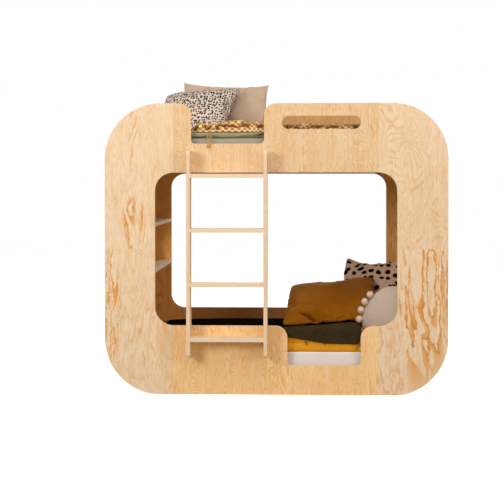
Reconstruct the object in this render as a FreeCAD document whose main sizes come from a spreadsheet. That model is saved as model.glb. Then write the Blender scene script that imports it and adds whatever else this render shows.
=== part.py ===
"""Bunk bed of plywood: two rounded panel frames, a fixed ladder, slatted bases and bedding.

Origin: middle of the bed's footprint, on the floor. +X to the right seen from the ladder side,
-Y towards the ladder, +Z up. Sizes are in millimetres.
"""
import FreeCAD
import Part
import Sketcher
import math
import os

V = FreeCAD.Vector
doc = FreeCAD.newDocument("bunk_bed")

# Driving dimensions: alias, value, meaning
SIZES = [
    ("mattress_length", 1600, "either mattress"),
    ("mattress_width", 800, "either mattress"),
    ("mattress_thickness", 100, "either mattress"),
    ("mattress_corner", 40, "mattress's upright corners"),
    ("mattress_ease", 8, "chamfer round the mattress's top and bottom"),
    ("mattress_end_play", 1, "mattress to an end panel"),
    ("mattress_side_play", 19, "mattress to a front or back panel"),
    ("bed_height", 1632, "overall height of the frame"),
    ("ply", 21, "plywood thickness"),
    ("end_overhang", 138, "front and back panels' ends beyond the end panels"),
    ("outer_radius", 312, "panel's four outer corners"),
    ("edge_ease", 1.5, "chamfer on the panels' edges"),
    ("column_width", 282, "upright part of a panel beside its window"),
    ("bottom_rail_height", 386, "front panel below its window"),
    ("top_rail_height", 388, "front panel above its window"),
    ("window_radius", 103, "front window's corners"),
    ("back_bottom_rail_height", 397, "back panel below its window"),
    ("back_top_rail_height", 390, "back panel above its window"),
    ("back_window_radius", 86, "back window's corners"),
    ("notch_start", 65, "notch's near wall, from the middle of the bed"),
    ("notch_end_space", 100.5, "notch's far wall to the seam beside it"),
    ("upper_notch_depth", 226, "access notch in the top rail"),
    ("lower_notch_depth", 222, "notch in the bottom rail"),
    ("notch_round", 67, "notch's convex corners"),
    ("notch_root", 24, "notch's inner corners"),
    ("slot_start", 35, "guard slot's near end, from the middle of the bed"),
    ("slot_height", 73, "guard slot's height"),
    ("slot_drop", 72, "guard slot below the panel's top edge"),
    ("tongue_length", 220, "loose tongue along its seam"),
    ("tongue_width", 40, "loose tongue across its seam"),
    ("tongue_thickness", 6, "loose tongue in the thickness of the ply"),
    ("tongue_gap", 0.2, "clearance round a loose tongue"),
    ("end_margin", 60, "end panel's lower and upper edges in from the panels' edges"),
    ("end_window_width", 560, "cut-out in the left end panel"),
    ("end_window_rim", 28, "panel left between the cut-out and a shelf"),
    ("end_window_radius", 60, "cut-out's corners"),
    ("upper_shelf_rise", 146, "upper shelf's top above the frame's middle"),
    ("lower_shelf_drop", 113, "lower shelf's top below the frame's middle"),
    ("housing_depth", 6, "groove that takes the end of a shelf or tread"),
    ("joint_gap", 0.2, "clearance in a groove or a screw hole"),
    ("upper_mattress_show", 32, "upper mattress's top above its notch's floor"),
    ("lower_mattress_show", 74, "lower mattress's top above its notch's floor"),
    ("slat_width", 70, "slat along the bed"),
    ("slat_thickness", 18, "slat"),
    ("slat_count", 13, "slats in a base"),
    ("slat_play", 4, "gap at each end of a slat"),
    ("tape_width", 30, "webbing that spaces the slats"),
    ("tape_thickness", 1, "webbing"),
    ("tape_inset", 150, "webbing's edge in from the slats' ends"),
    ("batten_height", 45, "batten under the slats"),
    ("batten_thickness", 28, "batten under the slats"),
    ("batten_shortfall", 60, "batten's end in from the end panel"),
    ("ladder_left_space", 19, "ladder's left side beyond the access notch"),
    ("ladder_right_space", 20, "ladder's right side beyond the access notch"),
    ("ladder_depth", 95, "rails and treads, front to back"),
    ("ladder_bottom", 219, "rails' lower ends above the floor"),
    ("ladder_drop", 267, "rails' upper ends below the frame's top"),
    ("rail_round", 18, "rails' front corners"),
    ("first_tread_rise", 110, "lowest tread's top above the rails' ends"),
    ("last_tread_drop", 128.8, "highest tread's top below the rails' ends"),
    ("tread_count", 4, "treads"),
    ("fastener_sides", 8, "flats round a screw, pin or bolt"),
    ("cam_sides", 12, "flats round a cam lock"),
    ("bolt_radius", 3, "ladder bolt's shank"),
    ("bolt_length", 60, "ladder bolt under its head"),
    ("bolt_head_radius", 7, "ladder bolt's head"),
    ("bolt_head_height", 3.5, "ladder bolt's head"),
    ("bolt_inset", 17, "upper ladder bolt above the window's edge"),
    ("lower_bolt_inset", 86, "lower ladder bolt below the window's edge"),
    ("cam_radius", 7.5, "cam lock in the end panels"),
    ("cam_depth", 12, "cam lock"),
    ("cam_setback", 24, "cam lock's middle from the panel it pulls"),
    ("cam_count", 4, "cam locks along an upright edge"),
    ("cam_end_space", 110, "first cam lock from the end panel's edge"),
    ("pin_radius", 3.5, "cam lock's pin"),
    ("pin_depth", 11, "pin in the panel it pulls"),
    ("screw_radius", 2.2, "batten screw"),
    ("screw_head_radius", 4.2, "batten screw's head"),
    ("screw_head_height", 2.6, "batten screw's head"),
    ("screw_bite", 12, "batten screw in the panel"),
    ("screw_count", 4, "screws in a long batten"),
    ("screw_end_space", 60, "screw from a batten's end"),
    ("fold_facets", 4, "flats along one arc of the bedding and pillows"),
    ("bedding_gap", 0.5, "clearance under and between the bedding and the pillows"),
    ("lower_quilt_left", 790, "lower quilt's left end from the middle of the bed"),
    ("lower_quilt_right", 496, "lower quilt's right end from the middle of the bed"),
    ("lower_quilt_height", 155, "lower quilt's highest fold above the mattress"),
    ("quilt_side_inset", 7.5, "quilts' front and back edges in from the mattress's sides"),
    ("quilt_bulge", 7, "swell of the quilts' folded edges"),
    ("quilt_shoulder", 32, "rounding of the quilts' front upper edge"),
    ("quilt_ridge_width", 130, "lower quilt's raised front fold"),
    ("quilt_ridge_drop", 30, "lower quilt behind its raised front fold"),
    ("blanket_thickness", 12, "knitted blanket"),
    ("blanket_hang", 119, "blanket's longest overhang below its front edge"),
    ("blanket_hem_inset", 5, "blanket's back edge in from the quilt's"),
    ("upper_quilt_height", 34, "upper quilt"),
    ("throw_left", 478, "checked throw's left end from the middle of the bed"),
    ("throw_right", 560, "checked throw's right end from the middle of the bed"),
    ("throw_height", 72, "checked throw's highest fold"),
    ("throw_depth", 472, "checked throw, front to back"),
    ("throw_hem", 4, "checked throw's thickness at its ends"),
    ("strand_radius", 2.5, "tassel's strand"),
    ("strand_pitch", 11, "one strand to the next"),
    ("strand_count", 3, "strands in the tassel"),
    ("strand_hang", 25, "strand's end below the notch's floor"),
    ("strand_space", 90.5, "first strand from the access notch's left wall"),
    ("pillow_draw", 20, "how far a pillow's sides pull in between its corners"),
    ("plain_width", 556, "plain pillow, side to side"),
    ("plain_height", 353, "plain pillow, bottom to top"),
    ("plain_thickness", 112, "plain pillow"),
    ("plain_x", -334, "plain pillow's middle"),
    ("dotted_width", 468, "dotted pillow, side to side"),
    ("dotted_height", 421, "dotted pillow, bottom to top"),
    ("dotted_thickness", 120, "dotted pillow"),
    ("dotted_x", -462, "dotted pillow's middle"),
    ("dotted_y", 128, "dotted pillow's middle"),
    ("velvet_width", 515, "velvet cushion, side to side"),
    ("velvet_height", 448, "velvet cushion, bottom to top"),
    ("velvet_thickness", 125, "velvet cushion"),
    ("velvet_x", 320, "velvet cushion's middle"),
    ("velvet_y", 36, "velvet cushion's middle"),
    ("spotted_width", 405, "spotted cushion, side to side"),
    ("spotted_height", 405, "spotted cushion, bottom to top"),
    ("spotted_thickness", 110, "spotted cushion"),
    ("spotted_x", 582, "spotted cushion's middle"),
    ("round_radius", 178, "round cushion"),
    ("round_thickness", 112, "round cushion at its middle"),
    ("round_x", 643, "round cushion's middle"),
    ("round_y", -254, "round cushion's middle"),
    ("pompom_radius", 22, "pompoms round the round cushion"),
    ("pompom_count", 20, "pompoms round the round cushion"),
    ("overrun", 10, "how far cutting shapes run past what they cut"),
]

sheet = doc.addObject("Spreadsheet::Sheet", "Sizes")
for row, (alias, value, meaning) in enumerate(SIZES, start=1):
    sheet.set(f"A{row}", meaning)
    sheet.set(f"B{row}", str(value))
    sheet.setAlias(f"B{row}", alias)
doc.recompute()


def size(expression):
    """Value of a sum over the sheet's aliases, in millimetres."""
    return float(sheet.evalExpression(expression))


def count(alias):
    return int(round(size(f"Sizes.{alias}")))


def bind(thing, **expressions):
    """Tie properties of an object to the sheet; a double underscore stands for a dot."""
    for name, expression in expressions.items():
        thing.setExpression(name.replace("__", "."), expression)


def place(thing, x="0", y="0", z="0"):
    bind(thing, Placement__Base__x=x, Placement__Base__y=y, Placement__Base__z=z)
    return thing


def box(name, x, y, z, length, width, height):
    """Board from its low corner and its sizes along X, Y and Z, each a sum over the sheet."""
    board = doc.addObject("Part::Box", name)
    bind(board, Length=length, Width=width, Height=height)
    return place(board, x, y, z)


def rod(name, axis, x, y, z, radius, length, sides="fastener_sides"):
    """Rod with flats, from the middle of its first end along +X or +Y."""
    made = doc.addObject("Part::Prism", name)
    made.Polygon = count(sides)
    turn = {"x": FreeCAD.Rotation(V(0, 1, 0), 90), "y": FreeCAD.Rotation(V(1, 0, 0), -90)}[axis]
    made.Placement = FreeCAD.Placement(V(0, 0, 0), turn)
    bind(made, Circumradius=radius, Height=length)
    return place(made, x, y, z)


def group(name, members):
    """Separate solids under one name."""
    gathered = doc.addObject("Part::Compound", name)
    gathered.Links = members
    return gathered


def cut(name, base, tool):
    made = doc.addObject("Part::Cut", name)
    made.Base = base
    made.Tool = tool
    return made


def common(name, base, tool):
    made = doc.addObject("Part::Common", name)
    made.Base = base
    made.Tool = tool
    return made


# Places that several pieces share, as sums over the sheet
FRAME_DEPTH = "(Sizes.mattress_width + 2 * Sizes.mattress_side_play + 2 * Sizes.ply)"
FRONT_FACE = f"((Sizes.ladder_depth - {FRAME_DEPTH}) / 2)"
FRONT_INNER = f"({FRONT_FACE} + Sizes.ply)"
BACK_FACE = f"((Sizes.ladder_depth + {FRAME_DEPTH}) / 2)"
BACK_INNER = f"({BACK_FACE} - Sizes.ply)"
LADDER_FRONT = f"({FRONT_FACE} - Sizes.ladder_depth)"
INNER_DEPTH = f"({FRAME_DEPTH} - 2 * Sizes.ply)"
END_INNER = "(Sizes.mattress_length / 2 + Sizes.mattress_end_play)"
END_FACE = f"({END_INNER} + Sizes.ply)"
HALF_LENGTH = f"({END_FACE} + Sizes.end_overhang)"
HALF_WINDOW = f"({HALF_LENGTH} - Sizes.column_width)"
WINDOW_BOTTOM = "Sizes.bottom_rail_height"
WINDOW_TOP = "(Sizes.bed_height - Sizes.top_rail_height)"
SEAM_X = f"({HALF_WINDOW} - Sizes.window_radius)"
SEAM_Z = "(Sizes.bed_height / 2)"
NOTCH_FAR = f"({SEAM_X} - Sizes.notch_end_space)"
UPPER_NOTCH_FLOOR = "(Sizes.bed_height - Sizes.upper_notch_depth)"
LOWER_NOTCH_FLOOR = f"({WINDOW_BOTTOM} - Sizes.lower_notch_depth)"
SLOT_ROOF = "(Sizes.bed_height - Sizes.slot_drop)"
SHELF_TOP = {"upper": f"({SEAM_Z} + Sizes.upper_shelf_rise)",
             "lower": f"({SEAM_Z} - Sizes.lower_shelf_drop)"}
MATTRESS_TOP = {"upper": f"({UPPER_NOTCH_FLOOR} + Sizes.upper_mattress_show)",
                "lower": f"({LOWER_NOTCH_FLOOR} + Sizes.lower_mattress_show)"}
SLAT_TOP = {level: f"({top} - Sizes.mattress_thickness)" for level, top in MATTRESS_TOP.items()}
BATTEN_TOP = {level: f"({top} - Sizes.slat_thickness)" for level, top in SLAT_TOP.items()}
LADDER_TOP = "(Sizes.bed_height - Sizes.ladder_drop)"
RAIL_LEFT = f"(-{NOTCH_FAR} - Sizes.ladder_left_space)"
RAIL_RIGHT = "(-Sizes.notch_start + Sizes.ladder_right_space - Sizes.ply)"
FIRST_TREAD = "(Sizes.ladder_bottom + Sizes.first_tread_rise)"
TREAD_PITCH = f"(({LADDER_TOP} - Sizes.last_tread_drop - {FIRST_TREAD}) / (Sizes.tread_count - 1))"

parts = []


def keep(thing, name):
    """Mark a finished sub-part and give it its name."""
    thing.Label = name
    parts.append(thing)
    return thing


# Sketches

def plane(body, role):
    return next(item for item in body.Origin.OriginFeatures if item.Role == role)


def rectangle(body, name, role, low_x, high_x, low_y, high_y):
    """Sketch of a rectangle held by its four sides."""
    sketch = body.newObject("Sketcher::SketchObject", name)
    sketch.AttachmentSupport = [(plane(body, role), "")]
    sketch.MapMode = "FlatFace"
    corners = [(low_x, low_y), (high_x, low_y), (high_x, high_y), (low_x, high_y)]
    points = [V(size(x), size(y), 0) for x, y in corners]
    for index, point in enumerate(points):
        sketch.addGeometry(Part.LineSegment(point, points[(index + 1) % 4]), False)
    for index in range(4):
        sketch.addConstraint(Sketcher.Constraint("Coincident", index, 2, (index + 1) % 4, 1))
        direction = "Horizontal" if index % 2 == 0 else "Vertical"
        sketch.addConstraint(Sketcher.Constraint(direction, index))
    sides = [("DistanceX", 0, 1, low_x), ("DistanceY", 0, 1, low_y),
             ("DistanceX", 2, 1, high_x), ("DistanceY", 2, 1, high_y)]
    for direction, line, end, expression in sides:
        made = sketch.addConstraint(
            Sketcher.Constraint(direction, -1, 1, line, end, size(expression)))
        sketch.setExpression(f"Constraints[{made}]", expression)
    return sketch


def slot_sketch(body, name, role, low_x, high_x, low_y, high_y):
    """Sketch of a slot with full round ends."""
    sketch = body.newObject("Sketcher::SketchObject", name)
    sketch.AttachmentSupport = [(plane(body, role), "")]
    sketch.MapMode = "FlatFace"
    radius = (size(high_y) - size(low_y)) / 2
    middle = (size(high_y) + size(low_y)) / 2
    left, right = size(low_x) + radius, size(high_x) - radius
    quarter = math.pi / 2
    sketch.addGeometry(Part.LineSegment(V(left, size(low_y), 0), V(right, size(low_y), 0)))
    sketch.addGeometry(Part.ArcOfCircle(
        Part.Circle(V(right, middle, 0), V(0, 0, 1), radius), -quarter, quarter))
    sketch.addGeometry(Part.LineSegment(V(right, size(high_y), 0), V(left, size(high_y), 0)))
    sketch.addGeometry(Part.ArcOfCircle(
        Part.Circle(V(left, middle, 0), V(0, 0, 1), radius), quarter, 3 * quarter))
    joints = [(0, 2, 1, 1), (1, 2, 2, 1), (2, 2, 3, 1), (3, 2, 0, 1)]
    for first, end, second, start in joints:
        sketch.addConstraint(Sketcher.Constraint("Tangent", first, end, second, start))
    sketch.addConstraint(Sketcher.Constraint("Horizontal", 0))
    round_end = f"(({high_y}) - ({low_y})) / 2"
    held = [("DistanceX", 3, 3, f"({low_x}) + {round_end}"), ("DistanceY", 0, 1, low_y),
            ("DistanceX", 1, 3, f"({high_x}) - {round_end}"), ("DistanceY", 2, 1, high_y)]
    for direction, line, end, expression in held:
        made = sketch.addConstraint(
            Sketcher.Constraint(direction, -1, 1, line, end, size(expression)))
        sketch.setExpression(f"Constraints[{made}]", expression)
    return sketch


def pad(body, name, sketch, length):
    made = body.newObject("PartDesign::Pad", name)
    made.Profile = sketch
    bind(made, Length=length)
    doc.recompute()
    return made


def pocket(body, name, sketch):
    """Cut right through, both ways from the sketch."""
    made = body.newObject("PartDesign::Pocket", name)
    made.Profile = sketch
    made.Type = "ThroughAll"
    made.Midplane = True
    before = body.Shape.Volume
    doc.recompute()
    if not body.Shape.Volume < before:
        raise RuntimeError(f"{name} cuts nothing")
    return made


def ease(body, kind, name, feature, chosen, amount):
    """Fillet or chamfer the edges of a feature that a test chooses."""
    edges = [f"Edge{number}" for number, edge in enumerate(feature.Shape.Edges, start=1)
             if chosen(edge)]
    if not edges:
        raise RuntimeError(f"{name} has no edges")
    made = body.newObject(f"PartDesign::{kind}", name)
    made.Base = (feature, edges)
    bind(made, **{"Radius" if kind == "Fillet" else "Size": amount})
    doc.recompute()
    return made


def near(first, second):
    return abs(first - second) < size("Sizes.joint_gap") / 2


def upright_at(places, across=1):
    """Test for edges along the sheet's thickness whose other two coordinates are listed."""
    wanted = [(size(x), size(z)) for x, z in places]

    def chosen(edge):
        if len(edge.Vertexes) < 2:
            return False
        start, end = (vertex.Point for vertex in edge.Vertexes[:2])
        if near(start[across], end[across]):
            return False
        first, second = [axis for axis in (0, 1, 2) if axis != across]
        return any(near(start[first], x) and near(end[first], x)
                   and near(start[second], z) and near(end[second], z) for x, z in wanted)
    return chosen


# Panel frames

def panel(side, bottom, top, radius, notched):
    """A whole panel frame in its own plane, 1 ply thick towards -Y from its inner face."""
    body = doc.addObject("PartDesign::Body", f"{side}_blank")
    outline = rectangle(body, f"{side}_outline", "XZ_Plane",
                        f"-{HALF_LENGTH}", HALF_LENGTH, "0", "Sizes.bed_height")
    last = pad(body, f"{side}_sheet", outline, "Sizes.ply")
    corners = [(x, z) for x in (f"-{HALF_LENGTH}", HALF_LENGTH) for z in ("0", "Sizes.bed_height")]
    last = ease(body, "Fillet", f"{side}_corners", last, upright_at(corners),
                "Sizes.outer_radius")
    last = pocket(body, f"{side}_window", rectangle(
        body, f"{side}_window_lines", "XZ_Plane", f"-{HALF_WINDOW}", HALF_WINDOW, bottom, top))
    corners = [(x, z) for x in (f"-{HALF_WINDOW}", HALF_WINDOW) for z in (bottom, top)]
    last = ease(body, "Fillet", f"{side}_window_corners", last, upright_at(corners), radius)
    if notched:
        near_wall = "Sizes.notch_start"
        notches = [("upper", f"-{NOTCH_FAR}", f"-{near_wall}", UPPER_NOTCH_FLOOR,
                    "(Sizes.bed_height + Sizes.overrun)", "Sizes.bed_height"),
                   ("lower", near_wall, NOTCH_FAR, LOWER_NOTCH_FLOOR,
                    f"({WINDOW_BOTTOM} + Sizes.overrun)", WINDOW_BOTTOM)]
        for level, low_x, high_x, floor, roof, mouth in notches:
            last = pocket(body, f"{level}_notch", rectangle(
                body, f"{level}_notch_lines", "XZ_Plane", low_x, high_x, floor, roof))
            last = ease(body, "Fillet", f"{level}_notch_mouth", last,
                        upright_at([(low_x, mouth), (high_x, mouth)]), "Sizes.notch_round")
            last = ease(body, "Fillet", f"{level}_notch_root", last,
                        upright_at([(low_x, floor), (high_x, floor)]), "Sizes.notch_root")
        last = pocket(body, "guard_slot", slot_sketch(
            body, "guard_slot_lines", "XZ_Plane", "Sizes.slot_start", NOTCH_FAR,
            f"({SLOT_ROOF} - Sizes.slot_height)", SLOT_ROOF))

    def on_a_face(edge):
        depths = [vertex.Point.y for vertex in edge.Vertexes]
        return all(near(depth, 0) for depth in depths) \
            or all(near(depth, -size("Sizes.ply")) for depth in depths)
    ease(body, "Chamfer", f"{side}_eased_edges", last, on_a_face, "Sizes.edge_ease")
    body.Label = f"{side}_blank"
    return body


def tongue(name, side_y, x, z, along, extra):
    """Loose tongue centred on a seam point; extra is its clearance all round."""
    middle_y = f"({side_y} + Sizes.ply / 2)"
    spans = {"x": "Sizes.tongue_width", "z": "Sizes.tongue_length"}
    if along == "x":
        spans = {"x": "Sizes.tongue_length", "z": "Sizes.tongue_width"}
    length = f"({spans['x']} + 2 * {extra})"
    height = f"({spans['z']} + 2 * {extra})"
    width = f"(Sizes.tongue_thickness + 2 * {extra})"
    return box(name, f"{x} - {length} / 2", f"{middle_y} - {width} / 2",
               f"{z} - {height} / 2", length, width, height)


def seam_points(bottom, top):
    """Middles of a panel's six seams, and the way each seam runs."""
    column_x = f"(({HALF_LENGTH} + {HALF_WINDOW}) / 2)"
    upper_z = f"(({top} + Sizes.bed_height) / 2)"
    lower_z = f"({bottom} / 2)"
    return [(f"-{column_x}", SEAM_Z, "x"), (column_x, SEAM_Z, "x"),
            (f"-{SEAM_X}", upper_z, "z"), (SEAM_X, upper_z, "z"),
            (f"-{SEAM_X}", lower_z, "z"), (SEAM_X, lower_z, "z")]


def shelf_box(name, top, extra):
    """Shelf with its ends let into both panels; extra is the clearance in the grooves."""
    depth = f"({INNER_DEPTH} + 2 * Sizes.housing_depth)"
    return box(name, f"-{END_INNER} - {extra}",
               f"{FRONT_INNER} - Sizes.housing_depth - {extra}",
               f"{top} - Sizes.ply - {extra}",
               f"{END_INNER} - {HALF_WINDOW} + 2 * {extra}", f"{depth} + 2 * {extra}",
               f"Sizes.ply + 2 * {extra}")


def shelf_grooves(side):
    """Grooves for the shelves, closed towards the window so that the edge stays whole."""
    return [shelf_box(f"{side}_{level}_groove", top, "Sizes.joint_gap")
            for level, top in SHELF_TOP.items()]


def batten_lines():
    """Every long batten: bunk, panel it lies on, and the height of its top."""
    return [(level, side, top) for level, top in BATTEN_TOP.items()
            for side in ("front", "back")]


LONG_BATTEN = f"(2 * ({END_INNER} - Sizes.batten_shortfall))"


def screw_x(index):
    """Place of one screw along a long batten."""
    span = f"({LONG_BATTEN} - 2 * Sizes.screw_end_space)"
    return f"(-{span} / 2 + {span} * {index} / (Sizes.screw_count - 1))"


def long_screw(name, level, side, top, index, extra):
    """Screw from a long batten's free side into the panel, with its head let in."""
    z = f"({top} - Sizes.batten_height / 2)"
    length = f"(Sizes.batten_thickness + Sizes.screw_bite + {extra})"
    if side == "front":
        head_y = f"({FRONT_INNER} + Sizes.batten_thickness - Sizes.screw_head_height)"
        shank_y = f"({FRONT_INNER} - Sizes.screw_bite - {extra})"
    else:
        head_y = f"({BACK_INNER} - Sizes.batten_thickness)"
        shank_y = head_y
    shank = rod(f"{name}_shank", "y", screw_x(index), shank_y, z,
                f"Sizes.screw_radius + {extra}", length)
    head = rod(f"{name}_head", "y", screw_x(index), head_y, z,
               f"Sizes.screw_head_radius + {extra}", "Sizes.screw_head_height")
    screw = doc.addObject("Part::Fuse", name)
    screw.Base = shank
    screw.Tool = head
    return screw


def long_screws(prefix, level, side, top, extra):
    return [long_screw(f"{prefix}_{level}_{side}_{index}", level, side, top, index, extra)
            for index in range(count("screw_count"))]


def cam_heights():
    span = "(Sizes.bed_height - 2 * Sizes.end_margin - 2 * Sizes.cam_end_space)"
    start = "(Sizes.end_margin + Sizes.cam_end_space)"
    return [f"({start} + {span} * {index} / (Sizes.cam_count - 1))"
            for index in range(count("cam_count"))]


def cam_pins(prefix, side, extra, ends=("left", "right")):
    """Pins of the cam locks that draw the end panels to one panel frame; holes reach the cams."""
    made = []
    length = f"(Sizes.pin_depth + Sizes.cam_setback - Sizes.cam_radius - Sizes.joint_gap" \
        f" + 3 * {extra})"
    for end in ends:
        sign = "-" if end == "left" else ""
        x = f"{sign}({END_INNER} + Sizes.cam_depth / 2)"
        for index, z in enumerate(cam_heights()):
            y = f"{FRONT_INNER} - Sizes.pin_depth - {extra}"
            if side == "back":
                y = f"{BACK_INNER} - (Sizes.cam_setback - Sizes.cam_radius - Sizes.joint_gap)" \
                    f" - 2 * {extra}"
            made.append(rod(f"{prefix}_{end}_{side}_{index}", "y", x, y, z,
                            f"Sizes.pin_radius + {extra}", length))
    return made


def ladder_bolt(name, x, z, extra):
    """Bolt from inside through the front panel into a ladder rail's back edge."""
    shank_start = f"({FRONT_INNER} - Sizes.bolt_length - {extra})"
    shank = rod(f"{name}_shank", "y", x, shank_start, z, f"Sizes.bolt_radius + {extra}",
                f"Sizes.bolt_length + {extra}")
    head = rod(f"{name}_head", "y", x, FRONT_INNER, z, "Sizes.bolt_head_radius",
               "Sizes.bolt_head_height")
    bolt = doc.addObject("Part::Fuse", name)
    bolt.Base = shank
    bolt.Tool = head
    return bolt


def ladder_bolts(prefix, extra, rails=("left", "right")):
    """Two bolts in each ladder rail, above and below the window."""
    made = []
    for rail in rails:
        x = RAIL_LEFT if rail == "left" else RAIL_RIGHT
        for level, z in (("upper", f"({WINDOW_TOP} + Sizes.bolt_inset)"),
                         ("lower", f"({WINDOW_BOTTOM} - Sizes.lower_bolt_inset)")):
            made.append(ladder_bolt(f"{prefix}_{rail}_{level}", f"({x} + Sizes.ply / 2)", z, extra))
    return made


def panel_pieces(side, bottom, top, radius, notched):
    """Cut a panel frame's joints, then saw it along its seams into six pieces."""
    blank = panel(side, bottom, top, radius, notched)
    outer = FRONT_FACE if side == "front" else BACK_INNER
    place(blank, y=f"{outer} + Sizes.ply")
    tools = [tongue(f"{side}_mortise_{index}", outer, x, z, along, "Sizes.tongue_gap")
             for index, (x, z, along) in enumerate(seam_points(bottom, top))]
    tools += shelf_grooves(side)
    tools += cam_pins(f"{side}_pin_hole", side, "Sizes.joint_gap")
    for level, screw_side, batten_top in batten_lines():
        if screw_side == side:
            tools += long_screws("hole", level, side, batten_top, "Sizes.joint_gap")
    if side == "front":
        tools += ladder_bolts("bolt_hole", "Sizes.joint_gap")
    drilled = cut(f"{side}_drilled", blank, group(f"{side}_joints", tools))
    margin = "Sizes.overrun"
    y = f"{outer} - {margin}"
    width = f"Sizes.ply + 2 * {margin}"
    corner_length = f"{HALF_LENGTH} + {margin} - {SEAM_X}"
    corner_height = f"{SEAM_Z} + {margin}"
    regions = [
        ("corner_upper_left", f"-{HALF_LENGTH} - {margin}", SEAM_Z, corner_length, corner_height),
        ("corner_upper_right", SEAM_X, SEAM_Z, corner_length, corner_height),
        ("corner_lower_left", f"-{HALF_LENGTH} - {margin}", f"-{margin}", corner_length,
         corner_height),
        ("corner_lower_right", SEAM_X, f"-{margin}", corner_length, corner_height),
        ("top_rail", f"-{SEAM_X}", SEAM_Z, f"2 * {SEAM_X}", corner_height),
        ("bottom_rail", f"-{SEAM_X}", f"-{margin}", f"2 * {SEAM_X}", corner_height)]
    for name, x, z, length, height in regions:
        region = box(f"{side}_{name}_region", x, y, z, length, width, height)
        keep(common(f"{side}_{name}_piece", drilled, region), f"{side}_{name}")
    tongues = [tongue(f"{side}_tongue_{index}", outer, x, z, along, "0")
               for index, (x, z, along) in enumerate(seam_points(bottom, top))]
    keep(group(f"{side}_tongue_set", tongues), f"{side}_tongues")


panel_pieces("front", WINDOW_BOTTOM, WINDOW_TOP, "Sizes.window_radius", True)
panel_pieces("back", "Sizes.back_bottom_rail_height",
             "(Sizes.bed_height - Sizes.back_top_rail_height)", "Sizes.back_window_radius", False)


# End panels, shelves and the locks that hold them

def end_panel(end, sign):
    """Upright panel between the two frames; the left one is open between the shelves."""
    body = doc.addObject("PartDesign::Body", f"{end}_end_blank")
    top = "(Sizes.bed_height - Sizes.end_margin)"
    last = pad(body, f"{end}_end_sheet", rectangle(
        body, f"{end}_end_lines", "YZ_Plane", FRONT_INNER, BACK_INNER, "Sizes.end_margin", top),
        "Sizes.ply")
    if end == "left":
        middle = f"(({FRONT_INNER} + {BACK_INNER}) / 2)"
        low_y = f"({middle} - Sizes.end_window_width / 2)"
        high_y = f"({middle} + Sizes.end_window_width / 2)"
        floor = f"({SHELF_TOP['lower']} + Sizes.end_window_rim)"
        roof = f"({SHELF_TOP['upper']} - Sizes.ply - Sizes.end_window_rim)"
        last = pocket(body, "end_window", rectangle(
            body, "end_window_lines", "YZ_Plane", low_y, high_y, floor, roof))
        corners = [(y, z) for y in (low_y, high_y) for z in (floor, roof)]
        last = ease(body, "Fillet", "end_window_corners", last, upright_at(corners, across=0),
                    "Sizes.end_window_radius")
    x = f"-{END_FACE}" if sign == "-" else END_INNER
    place(body, x=x)
    tools = cams(f"{end}_cam_hole", end, sign, "Sizes.joint_gap")
    for side in ("front", "back"):
        tools += cam_pins(f"{end}_end_hole", side, "Sizes.joint_gap", (end,))
    keep(cut(f"{end}_end_drilled", body, group(f"{end}_end_joints", tools)),
         f"{end}_end_panel")


def cams(prefix, end, sign, extra):
    """Cam locks let into an end panel's inner face along both upright edges."""
    made = []
    x = f"-{END_INNER} - Sizes.cam_depth" if sign == "-" else f"{END_INNER} - {extra}"
    for side, y in (("front", f"({FRONT_INNER} + Sizes.cam_setback)"),
                    ("back", f"({BACK_INNER} - Sizes.cam_setback)")):
        for index, z in enumerate(cam_heights()):
            made.append(rod(f"{prefix}_{side}_{index}", "x", x, y, z,
                            f"Sizes.cam_radius + {extra}", f"Sizes.cam_depth + {extra}",
                            "cam_sides"))
    return made


for end_name, end_sign in (("left", "-"), ("right", "")):
    end_panel(end_name, end_sign)
keep(group("cam_set", cams("left_cam", "left", "-", "0") + cams("right_cam", "right", "", "0")),
     "end_cams")
keep(group("cam_pin_set", cam_pins("pin", "front", "0") + cam_pins("pin", "back", "0")),
     "end_cam_pins")

for shelf_level, shelf_top in SHELF_TOP.items():
    keep(shelf_box(f"{shelf_level}_shelf_board", shelf_top, "0"), f"{shelf_level}_shelf")


# Battens, slats and webbing

def long_batten(level, side, top):
    y = FRONT_INNER if side == "front" else f"({BACK_INNER} - Sizes.batten_thickness)"
    board = box(f"{level}_{side}_batten_board", f"-{LONG_BATTEN} / 2", y,
                f"{top} - Sizes.batten_height", LONG_BATTEN, "Sizes.batten_thickness",
                "Sizes.batten_height")
    holes = group(f"{level}_{side}_batten_holes",
                  long_screws("batten_hole", level, side, top, "Sizes.joint_gap"))
    keep(cut(f"{level}_{side}_batten_drilled", board, holes), f"{level}_{side}_batten")


screws = []
for batten_level, batten_side, batten_top in batten_lines():
    long_batten(batten_level, batten_side, batten_top)
    screws += long_screws("screw", batten_level, batten_side, batten_top, "0")
keep(group("screw_set", screws), "batten_screws")


def end_batten(level, end, top):
    """Short batten under the slats against an end panel, between the two long ones."""
    sign = "-" if end == "left" else ""
    x = f"-{END_INNER}" if sign else f"{END_INNER} - Sizes.batten_thickness"
    gap = "Sizes.slat_play"
    keep(box(f"{level}_{end}_end_batten_board", x,
             f"{FRONT_INNER} + {gap}", f"{top} - Sizes.batten_height",
             "Sizes.batten_thickness", f"{INNER_DEPTH} - 2 * {gap}", "Sizes.batten_height"),
         f"{level}_{end}_end_batten")


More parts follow.
